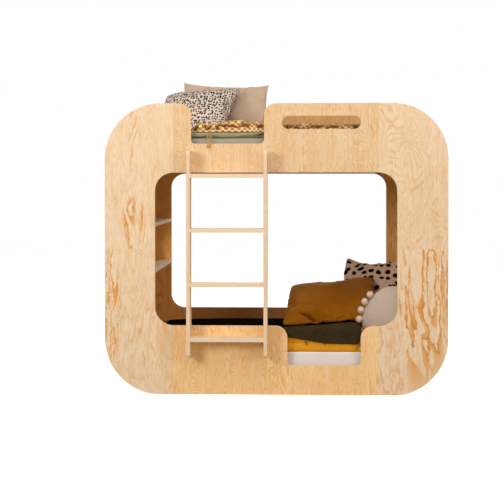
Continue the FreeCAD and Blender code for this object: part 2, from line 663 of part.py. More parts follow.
def slatted_base(level):
    """Slats across the bed on the battens, spaced by two bands of webbing."""
    top = SLAT_TOP[level]
    length = f"({INNER_DEPTH} - 2 * Sizes.slat_play)"
    span = f"(2 * {END_INNER} - Sizes.slat_width - 2 * Sizes.slat_play)"
    slats = []
    for index in range(count("slat_count")):
        x = f"-{span} / 2 + {span} * {index} / (Sizes.slat_count - 1) - Sizes.slat_width / 2"
        slats.append(box(f"{level}_slat_{index}", x, f"{FRONT_INNER} + Sizes.slat_play",
                         f"{top} - Sizes.slat_thickness", "Sizes.slat_width", length,
                         "Sizes.slat_thickness"))
    keep(group(f"{level}_slat_set", slats), f"{level}_slats")
    tapes = []
    reach = f"({END_INNER} - Sizes.batten_thickness - Sizes.slat_play)"
    for side, y in (("front", f"{FRONT_INNER} + Sizes.tape_inset"),
                    ("back", f"{BACK_INNER} - Sizes.tape_inset - Sizes.tape_width")):
        tapes.append(box(f"{level}_tape_{side}", f"-{reach}", y,
                         f"{top} - Sizes.slat_thickness - Sizes.tape_thickness",
                         f"2 * {reach}", "Sizes.tape_width", "Sizes.tape_thickness"))
    keep(group(f"{level}_tape_set", tapes), f"{level}_slat_tapes")


for base_level, base_top in BATTEN_TOP.items():
    for end_name in ("left", "right"):
        end_batten(base_level, end_name, base_top)
    slatted_base(base_level)


# Ladder

def tread_box(name, index, extra):
    """Tread with its ends let into both rails; extra is the clearance in the grooves."""
    top = f"({FIRST_TREAD} + {index} * {TREAD_PITCH})"
    x = f"({RAIL_LEFT} + Sizes.ply - Sizes.housing_depth)"
    length = f"({RAIL_RIGHT} + Sizes.housing_depth - {x})"
    return box(name, f"{x} - {extra}", f"{LADDER_FRONT} - {extra}",
               f"{top} - Sizes.ply - {extra}", f"{length} + 2 * {extra}",
               f"Sizes.ladder_depth + 2 * {extra}", f"Sizes.ply + 2 * {extra}")


def ladder_rail(side, x):
    """Upright board with rounded front corners and a groove for each tread."""
    body = doc.addObject("PartDesign::Body", f"rail_{side}_blank")
    last = pad(body, f"rail_{side}_sheet", rectangle(
        body, f"rail_{side}_lines", "YZ_Plane", LADDER_FRONT, FRONT_FACE, "Sizes.ladder_bottom",
        LADDER_TOP), "Sizes.ply")
    corners = [(LADDER_FRONT, "Sizes.ladder_bottom"), (LADDER_FRONT, LADDER_TOP)]
    last = ease(body, "Fillet", f"rail_{side}_corners", last, upright_at(corners, across=0),
                "Sizes.rail_round")

    def on_a_side(edge):
        places = [vertex.Point.x for vertex in edge.Vertexes]
        back = [near(vertex.Point.y, size(FRONT_FACE)) for vertex in edge.Vertexes]
        sides = (0, size("Sizes.ply"))
        return any(all(near(place_x, side_x) for place_x in places) for side_x in sides) \
            and not all(back)
    ease(body, "Chamfer", f"rail_{side}_eased", last, on_a_side, "Sizes.edge_ease")
    place(body, x=x)
    tools = [tread_box(f"rail_{side}_groove_{index}", index, "Sizes.joint_gap")
             for index in range(count("tread_count"))]
    tools += ladder_bolts(f"rail_{side}_hole", "Sizes.joint_gap", (side,))
    keep(cut(f"rail_{side}_drilled", body, group(f"rail_{side}_joints", tools)),
         f"ladder_rail_{side}")


for rail_side, rail_x in (("left", RAIL_LEFT), ("right", RAIL_RIGHT)):
    ladder_rail(rail_side, rail_x)
for tread_index in range(count("tread_count")):
    keep(tread_box(f"tread_board_{tread_index}", tread_index, "0"), f"tread_{tread_index + 1}")
keep(group("bolt_set", ladder_bolts("bolt", "0")), "ladder_bolts")


# Mattresses

def mattress(level):
    body = doc.addObject("PartDesign::Body", f"{level}_mattress_body")
    half_length = "(Sizes.mattress_length / 2)"
    middle = f"(({FRONT_INNER} + {BACK_INNER}) / 2)"
    last = pad(body, f"{level}_mattress_block", rectangle(
        body, f"{level}_mattress_lines", "XY_Plane", f"-{half_length}", half_length,
        f"({middle} - Sizes.mattress_width / 2)", f"({middle} + Sizes.mattress_width / 2)"),
        "Sizes.mattress_thickness")
    last = ease(body, "Fillet", f"{level}_mattress_corners", last,
                lambda edge: not near(edge.Vertexes[0].Point.z, edge.Vertexes[-1].Point.z),
                "Sizes.mattress_corner")
    ease(body, "Chamfer", f"{level}_mattress_edges", last,
         lambda edge: near(edge.Vertexes[0].Point.z, edge.Vertexes[-1].Point.z),
         "Sizes.mattress_ease")
    keep(place(body, z=SLAT_TOP[level]), f"{level}_mattress")


for bunk in ("lower", "upper"):
    mattress(bunk)


# Bedding and pillows

GAP = size("Sizes.bedding_gap")


def bow(start, middle, end):
    """Points along the arc through three points, in equal steps, its start left out."""
    curve = Part.Arc(start, middle, end)
    steps = count("fold_facets")
    low, high = curve.FirstParameter, curve.LastParameter
    return [curve.value(low + (high - low) * step / steps) for step in range(1, steps + 1)]


def outline(points):
    """Closed row of corners; a pair stands for an arc's middle and its end."""
    row = [points[0]]
    for step in points[1:]:
        row += bow(row[-1], *step) if isinstance(step, tuple) else [step]
    if row[-1].isEqual(row[0], GAP / 2):
        row.pop()
    return row


def flat_face(corners):
    return Part.Face(Part.makePolygon(corners + corners[:1]))


def loft(rows):
    """Solid through closed rows of corners, with flat faces from each row to the next."""
    faces = [flat_face(rows[0]), flat_face(rows[-1])]
    for first, second in zip(rows, rows[1:]):
        for index in range(len(first)):
            following = (index + 1) % len(first)
            faces.append(flat_face([first[index], first[following], second[following]]))
            faces.append(flat_face([first[index], second[following], second[index]]))
    shell = Part.makeShell(faces)
    shell.sewShape()
    solid = Part.makeSolid(shell)
    if solid.Volume < 0:
        solid.reverse()
    return solid


def soft(name, shape, placement=None):
    """Put a finished soft shape in the document under its sub-part's name."""
    solid = doc.addObject("Part::Feature", f"{name}_form")
    solid.Shape = shape
    if placement:
        solid.Placement = placement
    return keep(solid, name)


def between(table, share, column):
    """Read one column of a table of shares at a place between its rows."""
    for first, second in zip(table, table[1:]):
        if first[0] <= share <= second[0]:
            part = (share - first[0]) / (second[0] - first[0])
            return first[column] + (second[column] - first[column]) * part
    return table[-1][column] if share > table[-1][0] else table[0][column]


FRONT_HEM = size(f"{FRONT_INNER} + Sizes.mattress_side_play + Sizes.quilt_side_inset")
BACK_HEM = size(f"{BACK_INNER} - Sizes.mattress_side_play - Sizes.quilt_side_inset")
BULGE = size("Sizes.quilt_bulge")
SHOULDER = size("Sizes.quilt_shoulder")

# Lower quilt: share of its length from the left, front fold's height and back height as shares
LOWER_QUILT_SHARES = [(0, 0.45, 0.40), (0.02, 0.53, 0.45), (0.137, 0.62, 0.50), (0.374, 0.72, 0.55),
                      (0.634, 0.81, 0.55), (0.75, 0.85, 0.55), (0.827, 0.90, 0.55),
                      (0.897, 0.95, 0.55), (0.955, 1, 0.55), (0.985, 0.95, 0.53), (1, 0.72, 0.45)]
# Where the folds of the front edge lie, as shares of its height
FOLD_SHARES = (0.24, 0.46, 0.66, 0.80)
BLANKET_LEFT_SHARE = 0.0763
BLANKET_RIGHT_SHARE = 0.9885
# Blanket: share of its length from the left, its front edge from the back (0) to the front (1)
# and its overhang
BLANKET_EDGE_SHARES = [(0, 0.42, 0), (0.079, 0.66, 0), (0.326, 0.81, 0), (0.59, 0.96, 0),
                       (0.612, 1, 0.08), (0.635, 1, 0.36), (0.738, 1, 0.60), (0.823, 1, 0.82),
                       (0.958, 1, 1), (0.975, 1, 0.88), (1, 1, 0.25)]

QUILT_LEFT = -size("Sizes.lower_quilt_left")
QUILT_LENGTH = size("Sizes.lower_quilt_left + Sizes.lower_quilt_right")
LOWER_BED = size(MATTRESS_TOP["lower"])
UPPER_BED = size(MATTRESS_TOP["upper"])
QUILT_HEIGHT = size("Sizes.lower_quilt_height")
RIDGE_WIDTH = size("Sizes.quilt_ridge_width")
RIDGE_DROP = size("Sizes.quilt_ridge_drop")


def lower_quilt_top(x):
    """Heights of the lower quilt's front fold and back edge at a place along the bed."""
    share = (x - QUILT_LEFT) / QUILT_LENGTH
    front = between(LOWER_QUILT_SHARES, share, 1) * QUILT_HEIGHT
    back = between(LOWER_QUILT_SHARES, share, 2) * QUILT_HEIGHT
    return LOWER_BED + front, LOWER_BED + back


def lower_quilt_valley(x):
    """Height just behind the front fold."""
    front, back = lower_quilt_top(x)
    return max(front - RIDGE_DROP, back)


def lower_quilt_section(x, extra):
    """Two swelling folds at the front, a raised fold along the top and a plain back."""
    front, back = lower_quilt_top(x)
    height = front - LOWER_BED
    low = LOWER_BED + GAP - extra
    hem = FRONT_HEM - extra
    first, valley, second, top = [LOWER_BED + share * height for share in FOLD_SHARES]
    ridge = hem + SHOULDER
    slope = ridge + RIDGE_WIDTH
    back_hem = BACK_HEM + extra
    lift = extra
    bend = SHOULDER * (1 - math.sqrt(0.5))
    return outline([
        V(x, hem, low), (V(x, hem - BULGE, first), V(x, hem, valley)),
        (V(x, hem - BULGE, second), V(x, hem, top)),
        (V(x, hem + bend, front - bend * (front - top) / SHOULDER + lift),
         V(x, ridge, front + lift)),
        V(x, slope, lower_quilt_valley(x) + lift),
        V(x, back_hem - BULGE, back + lift), V(x, back_hem, back - BULGE + lift),
        V(x, back_hem, low)])


def quilt_solid(extra):
    stations = [QUILT_LEFT + share * QUILT_LENGTH for share, *rest in LOWER_QUILT_SHARES]
    stations[0] -= extra
    stations[-1] += extra
    return loft([lower_quilt_section(x, extra) for x in stations])


def blanket_solid():
    """Sheet over the lower quilt with its front hanging down, cut to lie on the quilt."""
    thickness = size("Sizes.blanket_thickness")
    hang = size("Sizes.blanket_hang")
    back = BACK_HEM - size("Sizes.blanket_hem_inset")
    left = QUILT_LEFT + QUILT_LENGTH * BLANKET_LEFT_SHARE
    right = QUILT_LEFT + QUILT_LENGTH * BLANKET_RIGHT_SHARE
    front = FRONT_HEM - BULGE - thickness - GAP
    places = {left + share * (right - left) for share, *rest in BLANKET_EDGE_SHARES}
    places |= {QUILT_LEFT + share * QUILT_LENGTH for share, *rest in LOWER_QUILT_SHARES}
    sections = []
    kept = [left]
    for x in sorted(places):
        if kept[-1] + thickness < x < right - thickness:
            kept.append(x)
    for x in kept + [right]:
        share = (x - left) / (right - left)
        edge = back + (front - back) * between(BLANKET_EDGE_SHARES, share, 1)
        ridge_z, back_z = [z + thickness for z in lower_quilt_top(x)]
        valley_z = lower_quilt_valley(x) + thickness
        ridge = FRONT_HEM + SHOULDER
        slope = ridge + RIDGE_WIDTH

        def top(y):
            if y <= ridge:
                return ridge_z
            if y <= slope:
                return ridge_z + (valley_z - ridge_z) * (y - ridge) / RIDGE_WIDTH
            return valley_z + (back_z - valley_z) * (y - slope) / (back - slope)
        bend = SHOULDER * (1 - math.sqrt(0.5))
        inner = edge + SHOULDER
        shoulder_z = top(inner) - SHOULDER
        drop = between(BLANKET_EDGE_SHARES, share, 2) * hang
        low = min(top(edge) - drop, shoulder_z - BULGE)
        second = max(inner, ridge) + BULGE
        third = max(second, slope) + BULGE
        sections.append(outline([
            V(x, edge, low), V(x, edge, shoulder_z),
            (V(x, edge + bend, top(inner) - bend), V(x, inner, top(inner))),
            V(x, second, top(second)), V(x, third, top(third)),
            V(x, back, back_z), V(x, back, back_z - SHOULDER)]))
    return loft(sections).cut(quilt_solid(GAP))


soft("lower_quilt", quilt_solid(0))
soft("lower_blanket", blanket_solid())


def upper_quilt_section(x):
    """Folded edge at the front, flat on top."""
    low = UPPER_BED + GAP
    top = UPPER_BED + size("Sizes.upper_quilt_height")
    middle = (low + top) / 2
    return outline([V(x, FRONT_HEM, low), (V(x, FRONT_HEM - BULGE, middle), V(x, FRONT_HEM, top)),
                 V(x, BACK_HEM, top), (V(x, BACK_HEM + BULGE, middle), V(x, BACK_HEM, low))])


upper_reach = size("Sizes.mattress_length / 2 - Sizes.quilt_side_inset")
soft("upper_quilt", loft([upper_quilt_section(-upper_reach), upper_quilt_section(upper_reach)]))

UPPER_QUILT_TOP = UPPER_BED + size("Sizes.upper_quilt_height")
# Throw: share of its length from the left, height and depth as shares
THROW_SHARES = [(0, 0, 0.16), (0.03, 0.55, 0.19), (0.14, 0.66, 0.22), (0.185, 0.86, 0.24),
                (0.282, 1, 0.30), (0.308, 0.90, 0.40), (0.335, 1, 0.50), (0.383, 0.84, 0.80),
                (0.44, 0.78, 0.95), (0.488, 0.83, 1), (0.70, 0.80, 1), (0.937, 0.84, 0.90),
                (0.985, 0.45, 0.80), (1, 0, 0.70)]
THROW_CREST_SHARE = 0.34


def throw_section(x, share):
    """Steep front, crest and a longer slope to the back."""
    low = UPPER_QUILT_TOP + GAP
    hem = size("Sizes.throw_hem")
    height = hem + (size("Sizes.throw_height") - hem) * between(THROW_SHARES, share, 1)
    depth = size("Sizes.throw_depth") * between(THROW_SHARES, share, 2)
    front = FRONT_HEM - BULGE
    crest = front + depth * THROW_CREST_SHARE
    back = front + depth
    rise = height * math.sqrt(0.5)
    start = (crest - front) * (1 - math.sqrt(0.5))
    end = (back - crest) * math.sqrt(0.5)
    return outline([V(x, front, low), (V(x, front + start, low + rise), V(x, crest, low + height)),
                 (V(x, crest + end, low + rise), V(x, back, low))])


def throw_solid():
    left = -size("Sizes.throw_left")
    length = size("Sizes.throw_left + Sizes.throw_right")
    return loft([throw_section(left + share * length, share) for share, *rest in THROW_SHARES])


soft("upper_throw", throw_solid())


def ring(middle, along, radius, sides=6):
    """Flat ring of straight sides round a point, square to a direction."""
    across = along.cross(V(1, 0, 0))
    if across.Length < math.sqrt(0.5):
        across = along.cross(V(0, 0, 1))
    across.normalize()
    upright = along.cross(across)
    upright.normalize()
    points = []
    for index in range(sides):
        angle = 2 * math.pi * index / sides
        points.append(middle + across * (radius * math.cos(angle))
                      + upright * (radius * math.sin(angle)))
    return points


def strand(x):
    """One strand from under the throw, over the notch's floor and down in front of the panel."""
    radius = size("Sizes.strand_radius")
    clear = radius + GAP
    floor = size(UPPER_NOTCH_FLOOR)
    inner = size(FRONT_INNER)
    face = size(FRONT_FACE)
    hem = FRONT_HEM - BULGE
    path = [V(x, hem - clear, UPPER_QUILT_TOP + clear),
            V(x, (hem + inner) / 2 - clear, (UPPER_QUILT_TOP + floor) / 2),
            V(x, inner + clear, floor + 2 * clear), V(x, inner - clear, floor + clear + GAP),
            V(x, face + clear, floor + clear + GAP), V(x, face - clear, floor - clear),
            V(x, face - clear, floor - size("Sizes.strand_hang"))]
    rings = []
    for index, point in enumerate(path):
        along = path[min(index + 1, len(path) - 1)] - path[max(index - 1, 0)]
        along.normalize()
        rings.append(ring(point, along, radius))
    return loft(rings)


tassel_x = -size(f"{NOTCH_FAR} - Sizes.strand_space")
soft("throw_tassels", Part.makeCompound(
    [strand(tassel_x + index * size("Sizes.strand_pitch")) for index in range(count("strand_count"))]))

# Pillow's sections from seam to crown: sides, corners and depth as shares of the half sizes
PILLOW_SHARES = [(1, 1, 0), (0.99, 0.93, 0.26), (0.93, 0.80, 0.58), (0.78, 0.62, 0.86),
                 (0.55, 0.42, 1)]


def pillow_section(half_width, half_height, y, side, corner):
    """Four arcs through the corners and the middles of the sides."""
    draw = size("Sizes.pillow_draw")
    wide, high = side * (half_width - draw), side * (half_height - draw)
    corner_x, corner_z = corner * half_width, corner * half_height
    lower_left = V(-corner_x, y, -corner_z)
    return outline([lower_left, (V(0, y, -high), V(corner_x, y, -corner_z)),
                 (V(wide, y, 0), V(corner_x, y, corner_z)),
                 (V(0, y, high), V(-corner_x, y, corner_z)), (V(-wide, y, 0), lower_left)])


def pillow(kind):
    """Crowned pillow standing in its own upright plane."""
    half_width = size(f"Sizes.{kind}_width / 2")
    half_height = size(f"Sizes.{kind}_height / 2")
    half_depth = size(f"Sizes.{kind}_thickness / 2")
    rows = [(side, corner, -depth) for side, corner, depth in reversed(PILLOW_SHARES)]
    rows += PILLOW_SHARES[1:]
    return loft([pillow_section(half_width, half_height, depth * half_depth, side, corner)
                 for side, corner, depth in rows])


def turned(yaw, lean, roll):
    """Rotation from its turn round Z, its lean back and its roll in its own plane."""
    return FreeCAD.Rotation(V(0, 0, 1), yaw) * FreeCAD.Rotation(V(1, 0, 0), -lean) \
        * FreeCAD.Rotation(V(0, 1, 0), roll)


def rest(shape, rotation, x, y, bed):
    """Place a shape so that none of its corners lies below the bedding."""
    lowest = None
    for vertex in shape.Vertexes:
        spot = rotation.multVec(vertex.Point)
        room = spot.z - bed(x + spot.x, y + spot.y)
        lowest = room if lowest is None else min(lowest, room)
    return FreeCAD.Placement(V(x, y, GAP - lowest), rotation)


def against_back(shape, rotation):
    """Depth at which a turned shape just clears the back panel."""
    reach = max(rotation.multVec(vertex.Point).y for vertex in shape.Vertexes)
    return size(BACK_INNER) - GAP - reach


def lower_bedding(x, y):
    """Height of the blanket, the quilt's end or the bare mattress under a point."""
    if x > QUILT_LEFT + QUILT_LENGTH + GAP:
        return LOWER_BED
    front, back = lower_quilt_top(x)
    valley = lower_quilt_valley(x)
    slope = FRONT_HEM + SHOULDER + RIDGE_WIDTH
    if y < FRONT_HEM + SHOULDER:
        level = front
    elif y < slope:
        level = front + (valley - front) * (y - FRONT_HEM - SHOULDER) / RIDGE_WIDTH
    else:
        level = valley + (back - valley) * (y - slope) / (BACK_HEM - slope)
    return level + size("Sizes.blanket_thickness")


def upper_bedding(x, y):
    return UPPER_QUILT_TOP


# Turns of the pillows in degrees: round Z, lean and roll
TURN_SHARES = {"plain": (0.5, 19.8, 1.5), "dotted": (-9, 55, -5), "velvet": (-9, 62, -9),
               "spotted": (-25, 22, -1.5), "round": (-30, 4, 0)}

NESTLE_TURNS = 8
NESTLE_SHARE = 0.8


def leaning(form, turn, x, y, bed, support):
    """Placement on the bedding, moved back until the form meets what it leans on."""
    for step in range(NESTLE_TURNS):
        placement = rest(form, turn, x, y, bed)
        trial = form.copy()
        trial.Placement = placement
        room = trial.distToShape(support)[0] - GAP
        if room < GAP:
            break
        y += room * NESTLE_SHARE
    return placement


plain = pillow("plain")
plain_turn = turned(*TURN_SHARES["plain"])
plain_form = soft("upper_plain_pillow", plain, rest(
    plain, plain_turn, size("Sizes.plain_x"), against_back(plain, plain_turn), upper_bedding))
dotted = pillow("dotted")
soft("upper_dotted_pillow", dotted, leaning(
    dotted, turned(*TURN_SHARES["dotted"]), size("Sizes.dotted_x"), size("Sizes.dotted_y"),
    upper_bedding, plain_form.Shape))
spotted = pillow("spotted")
spotted_turn = turned(*TURN_SHARES["spotted"])
spotted_form = soft("lower_spotted_cushion", spotted, rest(
    spotted, spotted_turn, size("Sizes.spotted_x"), against_back(spotted, spotted_turn),
    lower_bedding))
velvet = pillow("velvet")
soft("lower_velvet_cushion", velvet, leaning(
    velvet, turned(*TURN_SHARES["velvet"]), size("Sizes.velvet_x"), size("Sizes.velvet_y"),
    lower_bedding, spotted_form.Shape))


# Round cushion from rim to crown: radius and depth as shares
ROUND_SHARES = [(1, 0.11), (0.95, 0.34), (0.82, 0.63), (0.60, 0.86), (0.30, 1)]


def round_section(radius, y):
    """Circle of four arcs."""
    corner = radius * math.sqrt(0.5)
    start = V(-corner, y, -corner)
    return outline([start, (V(0, y, -radius), V(corner, y, -corner)),
                 (V(radius, y, 0), V(corner, y, corner)), (V(0, y, radius), V(-corner, y, corner)),
                 (V(-radius, y, 0), start)])


def round_cushion():
    """Crowned disc with its axis along Y."""
    radius = size("Sizes.round_radius")
    half = size("Sizes.round_thickness / 2")
    rows = [(wide, -deep) for wide, deep in reversed(ROUND_SHARES)] + ROUND_SHARES
    return loft([round_section(wide * radius, deep * half) for wide, deep in rows])


# Tufts whose height above the cushion's middle is over this share of its radius slip behind it
TUCK_SHARE = 0.8


def pompoms(cushion, placement):
    """Small round tufts round the rim, each of three rings, where the bed leaves room."""
    radius = size("Sizes.pompom_radius")
    small = radius / 2
    half = radius * math.sqrt(3) / 2
    away = V(0, -math.sqrt(0.5), math.sqrt(0.5))
    middle = V(0, 0, size("Sizes.round_radius")) + away * (2 * radius)
    rings = [ring(middle + V(0, -half, 0), V(0, 1, 0), small),
             ring(middle, V(0, 1, 0), radius), ring(middle + V(0, half, 0), V(0, 1, 0), small)]
    first = loft(rings)
    for step in range(NESTLE_TURNS):
        moved = away * (GAP - first.distToShape(cushion)[0])
        first.translate(moved)
        middle += moved
    behind = V(0, 2 * radius + size("Sizes.round_thickness / 2"), size("Sizes.round_radius") - radius)
    tucked = first.copy()
    tucked.translate(behind - middle)
    quilt_end = QUILT_LEFT + QUILT_LENGTH
    made = []
    tufts = count("pompom_count")
    for index in range(tufts):
        degrees = 360 * (index + 1 / 2) / tufts
        turn = FreeCAD.Rotation(V(0, 1, 0), degrees)
        spot = placement.multVec(turn.multVec(middle))
        beyond = spot.z < LOWER_BED + radius or spot.x > size(END_INNER) - radius \
            or spot.y < size(FRONT_INNER) + radius
        in_quilt = spot.x < quilt_end + radius \
            and spot.z < lower_bedding(quilt_end, spot.y) + radius
        if not beyond and not in_quilt:
            slipped = math.cos(math.radians(degrees)) > TUCK_SHARE
            tuft = (tucked if slipped else first).copy()
            tuft.rotate(V(0, 0, 0), V(0, 1, 0), degrees)
            way = V(0, 1, 0) if slipped else turn.multVec(away)
            for step in range(NESTLE_TURNS):
                tuft.translate(way * (GAP - tuft.distToShape(cushion)[0]))
            made.append(tuft)
    return Part.makeCompound(made)


disc = round_cushion()
disc_turn = turned(*TURN_SHARES["round"])
disc_place = rest(disc, disc_turn, size("Sizes.round_x"), size("Sizes.round_y"),
                  lambda x, y: LOWER_BED)
soft("lower_round_cushion", disc, disc_place)
soft("cushion_pompoms", pompoms(disc, disc_place), disc_place)


def write_parts():
    """Check every object, then write each sub-part to its own file."""
    doc.recompute()
    for thing in doc.Objects:
        if "Invalid" in thing.State or "Error" in thing.State:
            raise RuntimeError(f"{thing.Name} failed: {thing.State}")
    os.makedirs("parts", exist_ok=True)
    for part in parts:
        if part.Shape.isNull() or not part.Shape.isValid() or not part.Shape.Solids:
            raise RuntimeError(f"{part.Label} has no valid solid")
    for part in parts:
        part.Shape.exportStep(os.path.join("parts", f"{part.Label}.step"))
    print(f"{len(parts)} sub-parts written")


write_parts()
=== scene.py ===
import bmesh
import bpy
import math
import numpy as np
from mathutils import Matrix, Vector, noise


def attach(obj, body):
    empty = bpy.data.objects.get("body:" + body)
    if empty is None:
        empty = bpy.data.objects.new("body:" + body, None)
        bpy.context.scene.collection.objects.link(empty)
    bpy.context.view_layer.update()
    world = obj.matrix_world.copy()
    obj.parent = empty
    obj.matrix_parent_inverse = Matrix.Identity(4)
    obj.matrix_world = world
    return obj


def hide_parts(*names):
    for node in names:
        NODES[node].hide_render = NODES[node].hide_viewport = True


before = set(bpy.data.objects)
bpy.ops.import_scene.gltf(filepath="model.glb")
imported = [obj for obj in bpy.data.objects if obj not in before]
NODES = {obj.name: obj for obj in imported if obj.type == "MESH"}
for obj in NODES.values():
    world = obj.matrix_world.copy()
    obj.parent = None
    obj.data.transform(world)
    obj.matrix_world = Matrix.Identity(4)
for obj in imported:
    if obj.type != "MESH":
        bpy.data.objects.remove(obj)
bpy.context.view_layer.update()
MM = 0.001
BODY = "root"
scene = bpy.context.scene
scene.view_settings.view_transform = "Standard"


# Helpers

def linear(red, green, blue):
    """Linear colour from the 0 to 255 values of a screen colour."""
    values = [value / 255 for value in (red, green, blue)]
    return tuple(v / 12.92 if v <= 0.04045 else ((v + 0.055) / 1.055) ** 2.4
                 for v in values) + (1.0,)


def settle(thing, settings):
    """Set several properties."""
    for key, value in settings.items():
        setattr(thing, key, value)


def bounded(value, low=0.0, high=1.0):
    return max(low, min(high, value))


def add_object(name, data):
    piece = bpy.data.objects.new(name, data)
    scene.collection.objects.link(piece)
    return piece


def smooth(mesh, sharp=None):
    """Shade smooth, with edges over an angle in degrees kept sharp."""
    mesh.polygons.foreach_set("use_smooth", [True] * len(mesh.polygons))
    if sharp is not None:
        mesh.set_sharp_from_angle(angle=math.radians(sharp))


def mesh_piece(name, points, faces, uvs=None):
    """Smooth piece from points in metres, with a UV for each corner of its faces."""
    mesh = bpy.data.meshes.new(name)
    mesh.from_pydata(points, [], faces)
    if uvs:
        layer = mesh.uv_layers.new(name="cloth")
        layer.data.foreach_set("uv", [c for uv in uvs for c in uv])
    smooth(mesh)
    return add_object(name, mesh)


def built_piece(name, build):
    """Smooth piece from a bmesh, which is freed."""
    mesh = bpy.data.meshes.new(name)
    build.to_mesh(mesh)
    build.free()
    smooth(mesh)
    return add_object(name, mesh)


def finished(piece, material, slot, *nodes):
    """Give a piece its material and its body, and hide the nodes it stands for. slot is not used."""
    piece.data.materials.clear()
    piece.data.materials.append(material)
    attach(piece, BODY)
    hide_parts(*nodes)


def evaluated(piece):
    """New mesh of a curve, or of a piece with its modifiers."""
    graph = bpy.context.evaluated_depsgraph_get()
    return bpy.data.meshes.new_from_object(piece.evaluated_get(graph))


def swap_mesh(piece, mesh):
    """Put a mesh in the place of a piece's own and drop its modifiers."""
    piece.modifiers.clear()
    old = piece.data
    piece.data = mesh
    bpy.data.meshes.remove(old)


def modify(piece, kind, **settings):
    """Add a modifier and apply it."""
    settle(piece.modifiers.new(kind.lower(), kind), settings)
    swap_mesh(piece, evaluated(piece))


def curve_mesh(lines, kind, curve_settings, spline_settings):
    """Mesh of a curve that runs along lines of points."""
    curve = bpy.data.curves.new("way", "CURVE")
    settle(curve, curve_settings)
    for line in lines:
        spline = curve.splines.new(kind)
        spline.points.add(len(line) - 1)
        for point, place in zip(spline.points, line):
            point.co = (*place, 1)
        settle(spline, spline_settings)
    holder = add_object("way", curve)
    mesh = evaluated(holder)
    bpy.data.objects.remove(holder)
    bpy.data.curves.remove(curve)
    return mesh


def operation(kind):
    return lambda first, second: first.graph.math(kind, first, second)


class Wire:
    """Output of a node; sums over wires become math nodes."""

    def __init__(self, graph, socket):
        self.graph, self.socket = graph, socket

    __add__ = operation("ADD")
    __sub__ = operation("SUBTRACT")
    __mul__ = operation("MULTIPLY")
    __truediv__ = operation("DIVIDE")
    __gt__ = operation("GREATER_THAN")

    def __abs__(self):
        return self.graph.math("ABSOLUTE", self)


class Graph:
    """Short way to write the nodes of a material or a world."""

    def __init__(self, owner):
        owner.use_nodes = True
        self.owner, self.tree = owner, owner.node_tree
        self.tree.nodes.clear()

    def put(self, socket, value):
        if isinstance(value, Wire):
            self.tree.links.new(value.socket, socket)
        elif value is not None:
            socket.default_value = value

    def add(self, kind, inputs=None, **settings):
        """New node; an input that is None stays as it is."""
        made = self.tree.nodes.new("ShaderNode" + kind)
        settle(made, settings)
        for key, value in (inputs or {}).items():
            self.put(made.inputs[key], value)
        return made

    def node(self, kind, inputs=None, out=0, **settings):
        return Wire(self, self.add(kind, inputs, **settings).outputs[out])

    def math(self, kind, first, second=None, clamp=False):
        return self.node("Math", {0: first, 1: second}, operation=kind, use_clamp=clamp)

    def mix(self, share, first, second, blend="MIX"):
        return self.node("Mix", {0: share, 6: first, 7: second}, out=2, data_type="RGBA",
                         blend_type=blend)

    def tinted(self, colour, share):
        return self.mix(1.0, colour, share, "MULTIPLY")

    def ramp(self, value, *stops):
        """Straight between stops of a place with a grey level or a colour."""
        made = self.add("ValToRGB", {0: value})
        elements = made.color_ramp.elements
        while len(elements) < len(stops):
            elements.new(0.5)
        for element, (place, colour) in zip(elements, stops):
            element.position = place
            element.color = colour if isinstance(colour, tuple) else (colour,) * 3 + (1,)
        return Wire(self, made.outputs[0])

    def rise(self, value, low, high):
        return self.ramp(value, (low, 0.0), (high, 1.0))

    def noise(self, vector, scale, detail=3.0, rough=0.5, bend=0.0):
        return self.node("TexNoise", {"Vector": vector, "Scale": scale, "Detail": detail,
                                      "Roughness": rough, "Distortion": bend})

    def scaled(self, vector, scale, shift=(0, 0, 0)):
        return self.node("Mapping", {"Vector": vector, "Location": shift, "Scale": scale})

    def grain(self, vector, wide, tall, detail=3.0, rough=0.6, bend=0.0, shift=(0, 0, 0)):
        """Noise with its own scale across and along."""
        return self.noise(self.scaled(vector, (wide, tall, 1), shift), 1.0, detail, rough, bend)

    def cells(self, vector, scale, wander=1.0):
        return self.add("TexVoronoi", {"Vector": vector, "Scale": scale, "Randomness": wander},
                        voronoi_dimensions="2D").outputs

    def place(self):
        return self.node("TexCoord", out=3)

    def parts(self, vector):
        return [Wire(self, out) for out in self.add("SeparateXYZ", {0: vector}).outputs]

    def joined(self, x, y, z):
        return self.node("CombineXYZ", {0: x, 1: y, 2: z})

    def bump(self, height, strength, distance, normal=None):
        return self.node("Bump", {"Strength": strength, "Distance": distance, "Height": height,
                                  "Normal": normal})

    def shown_ray(self):
        """1 on the rays that see the background: from the camera, a gloss or through glass."""
        rays = [self.node("LightPath", out=f"Is {kind} Ray")
                for kind in ("Camera", "Glossy", "Transmission")]
        return self.math("MAXIMUM", rays[0], self.math("MAXIMUM", rays[1], rays[2]))

    def finish(self, **inputs):
        names = {"colour": "Base Color", "specular": "Specular IOR Level", "sheen": "Sheen Weight",
                 "glow": "Emission Color"}
        inputs = {names.get(key, key.replace("_", " ").title()): value
                  for key, value in inputs.items()}
        shader = self.node("BsdfPrincipled", inputs)
        self.add("OutputMaterial", {"Surface": shader})
        return self.owner


def surface(name):
    return Graph(bpy.data.materials.new(name))


# Camera: place, turn and frame of the photograph

FOCAL_PIXELS = 1183.9
FRAME_PIXELS = 500
SENSOR_MM = 36
CAMERA_PLACE = Vector((135.7, -7003.5, 1203.7)) * MM
CAMERA_TURN = (2.09, -0.6, -0.03)
CAMERA_SHIFT = (-0.0136, -0.1156)

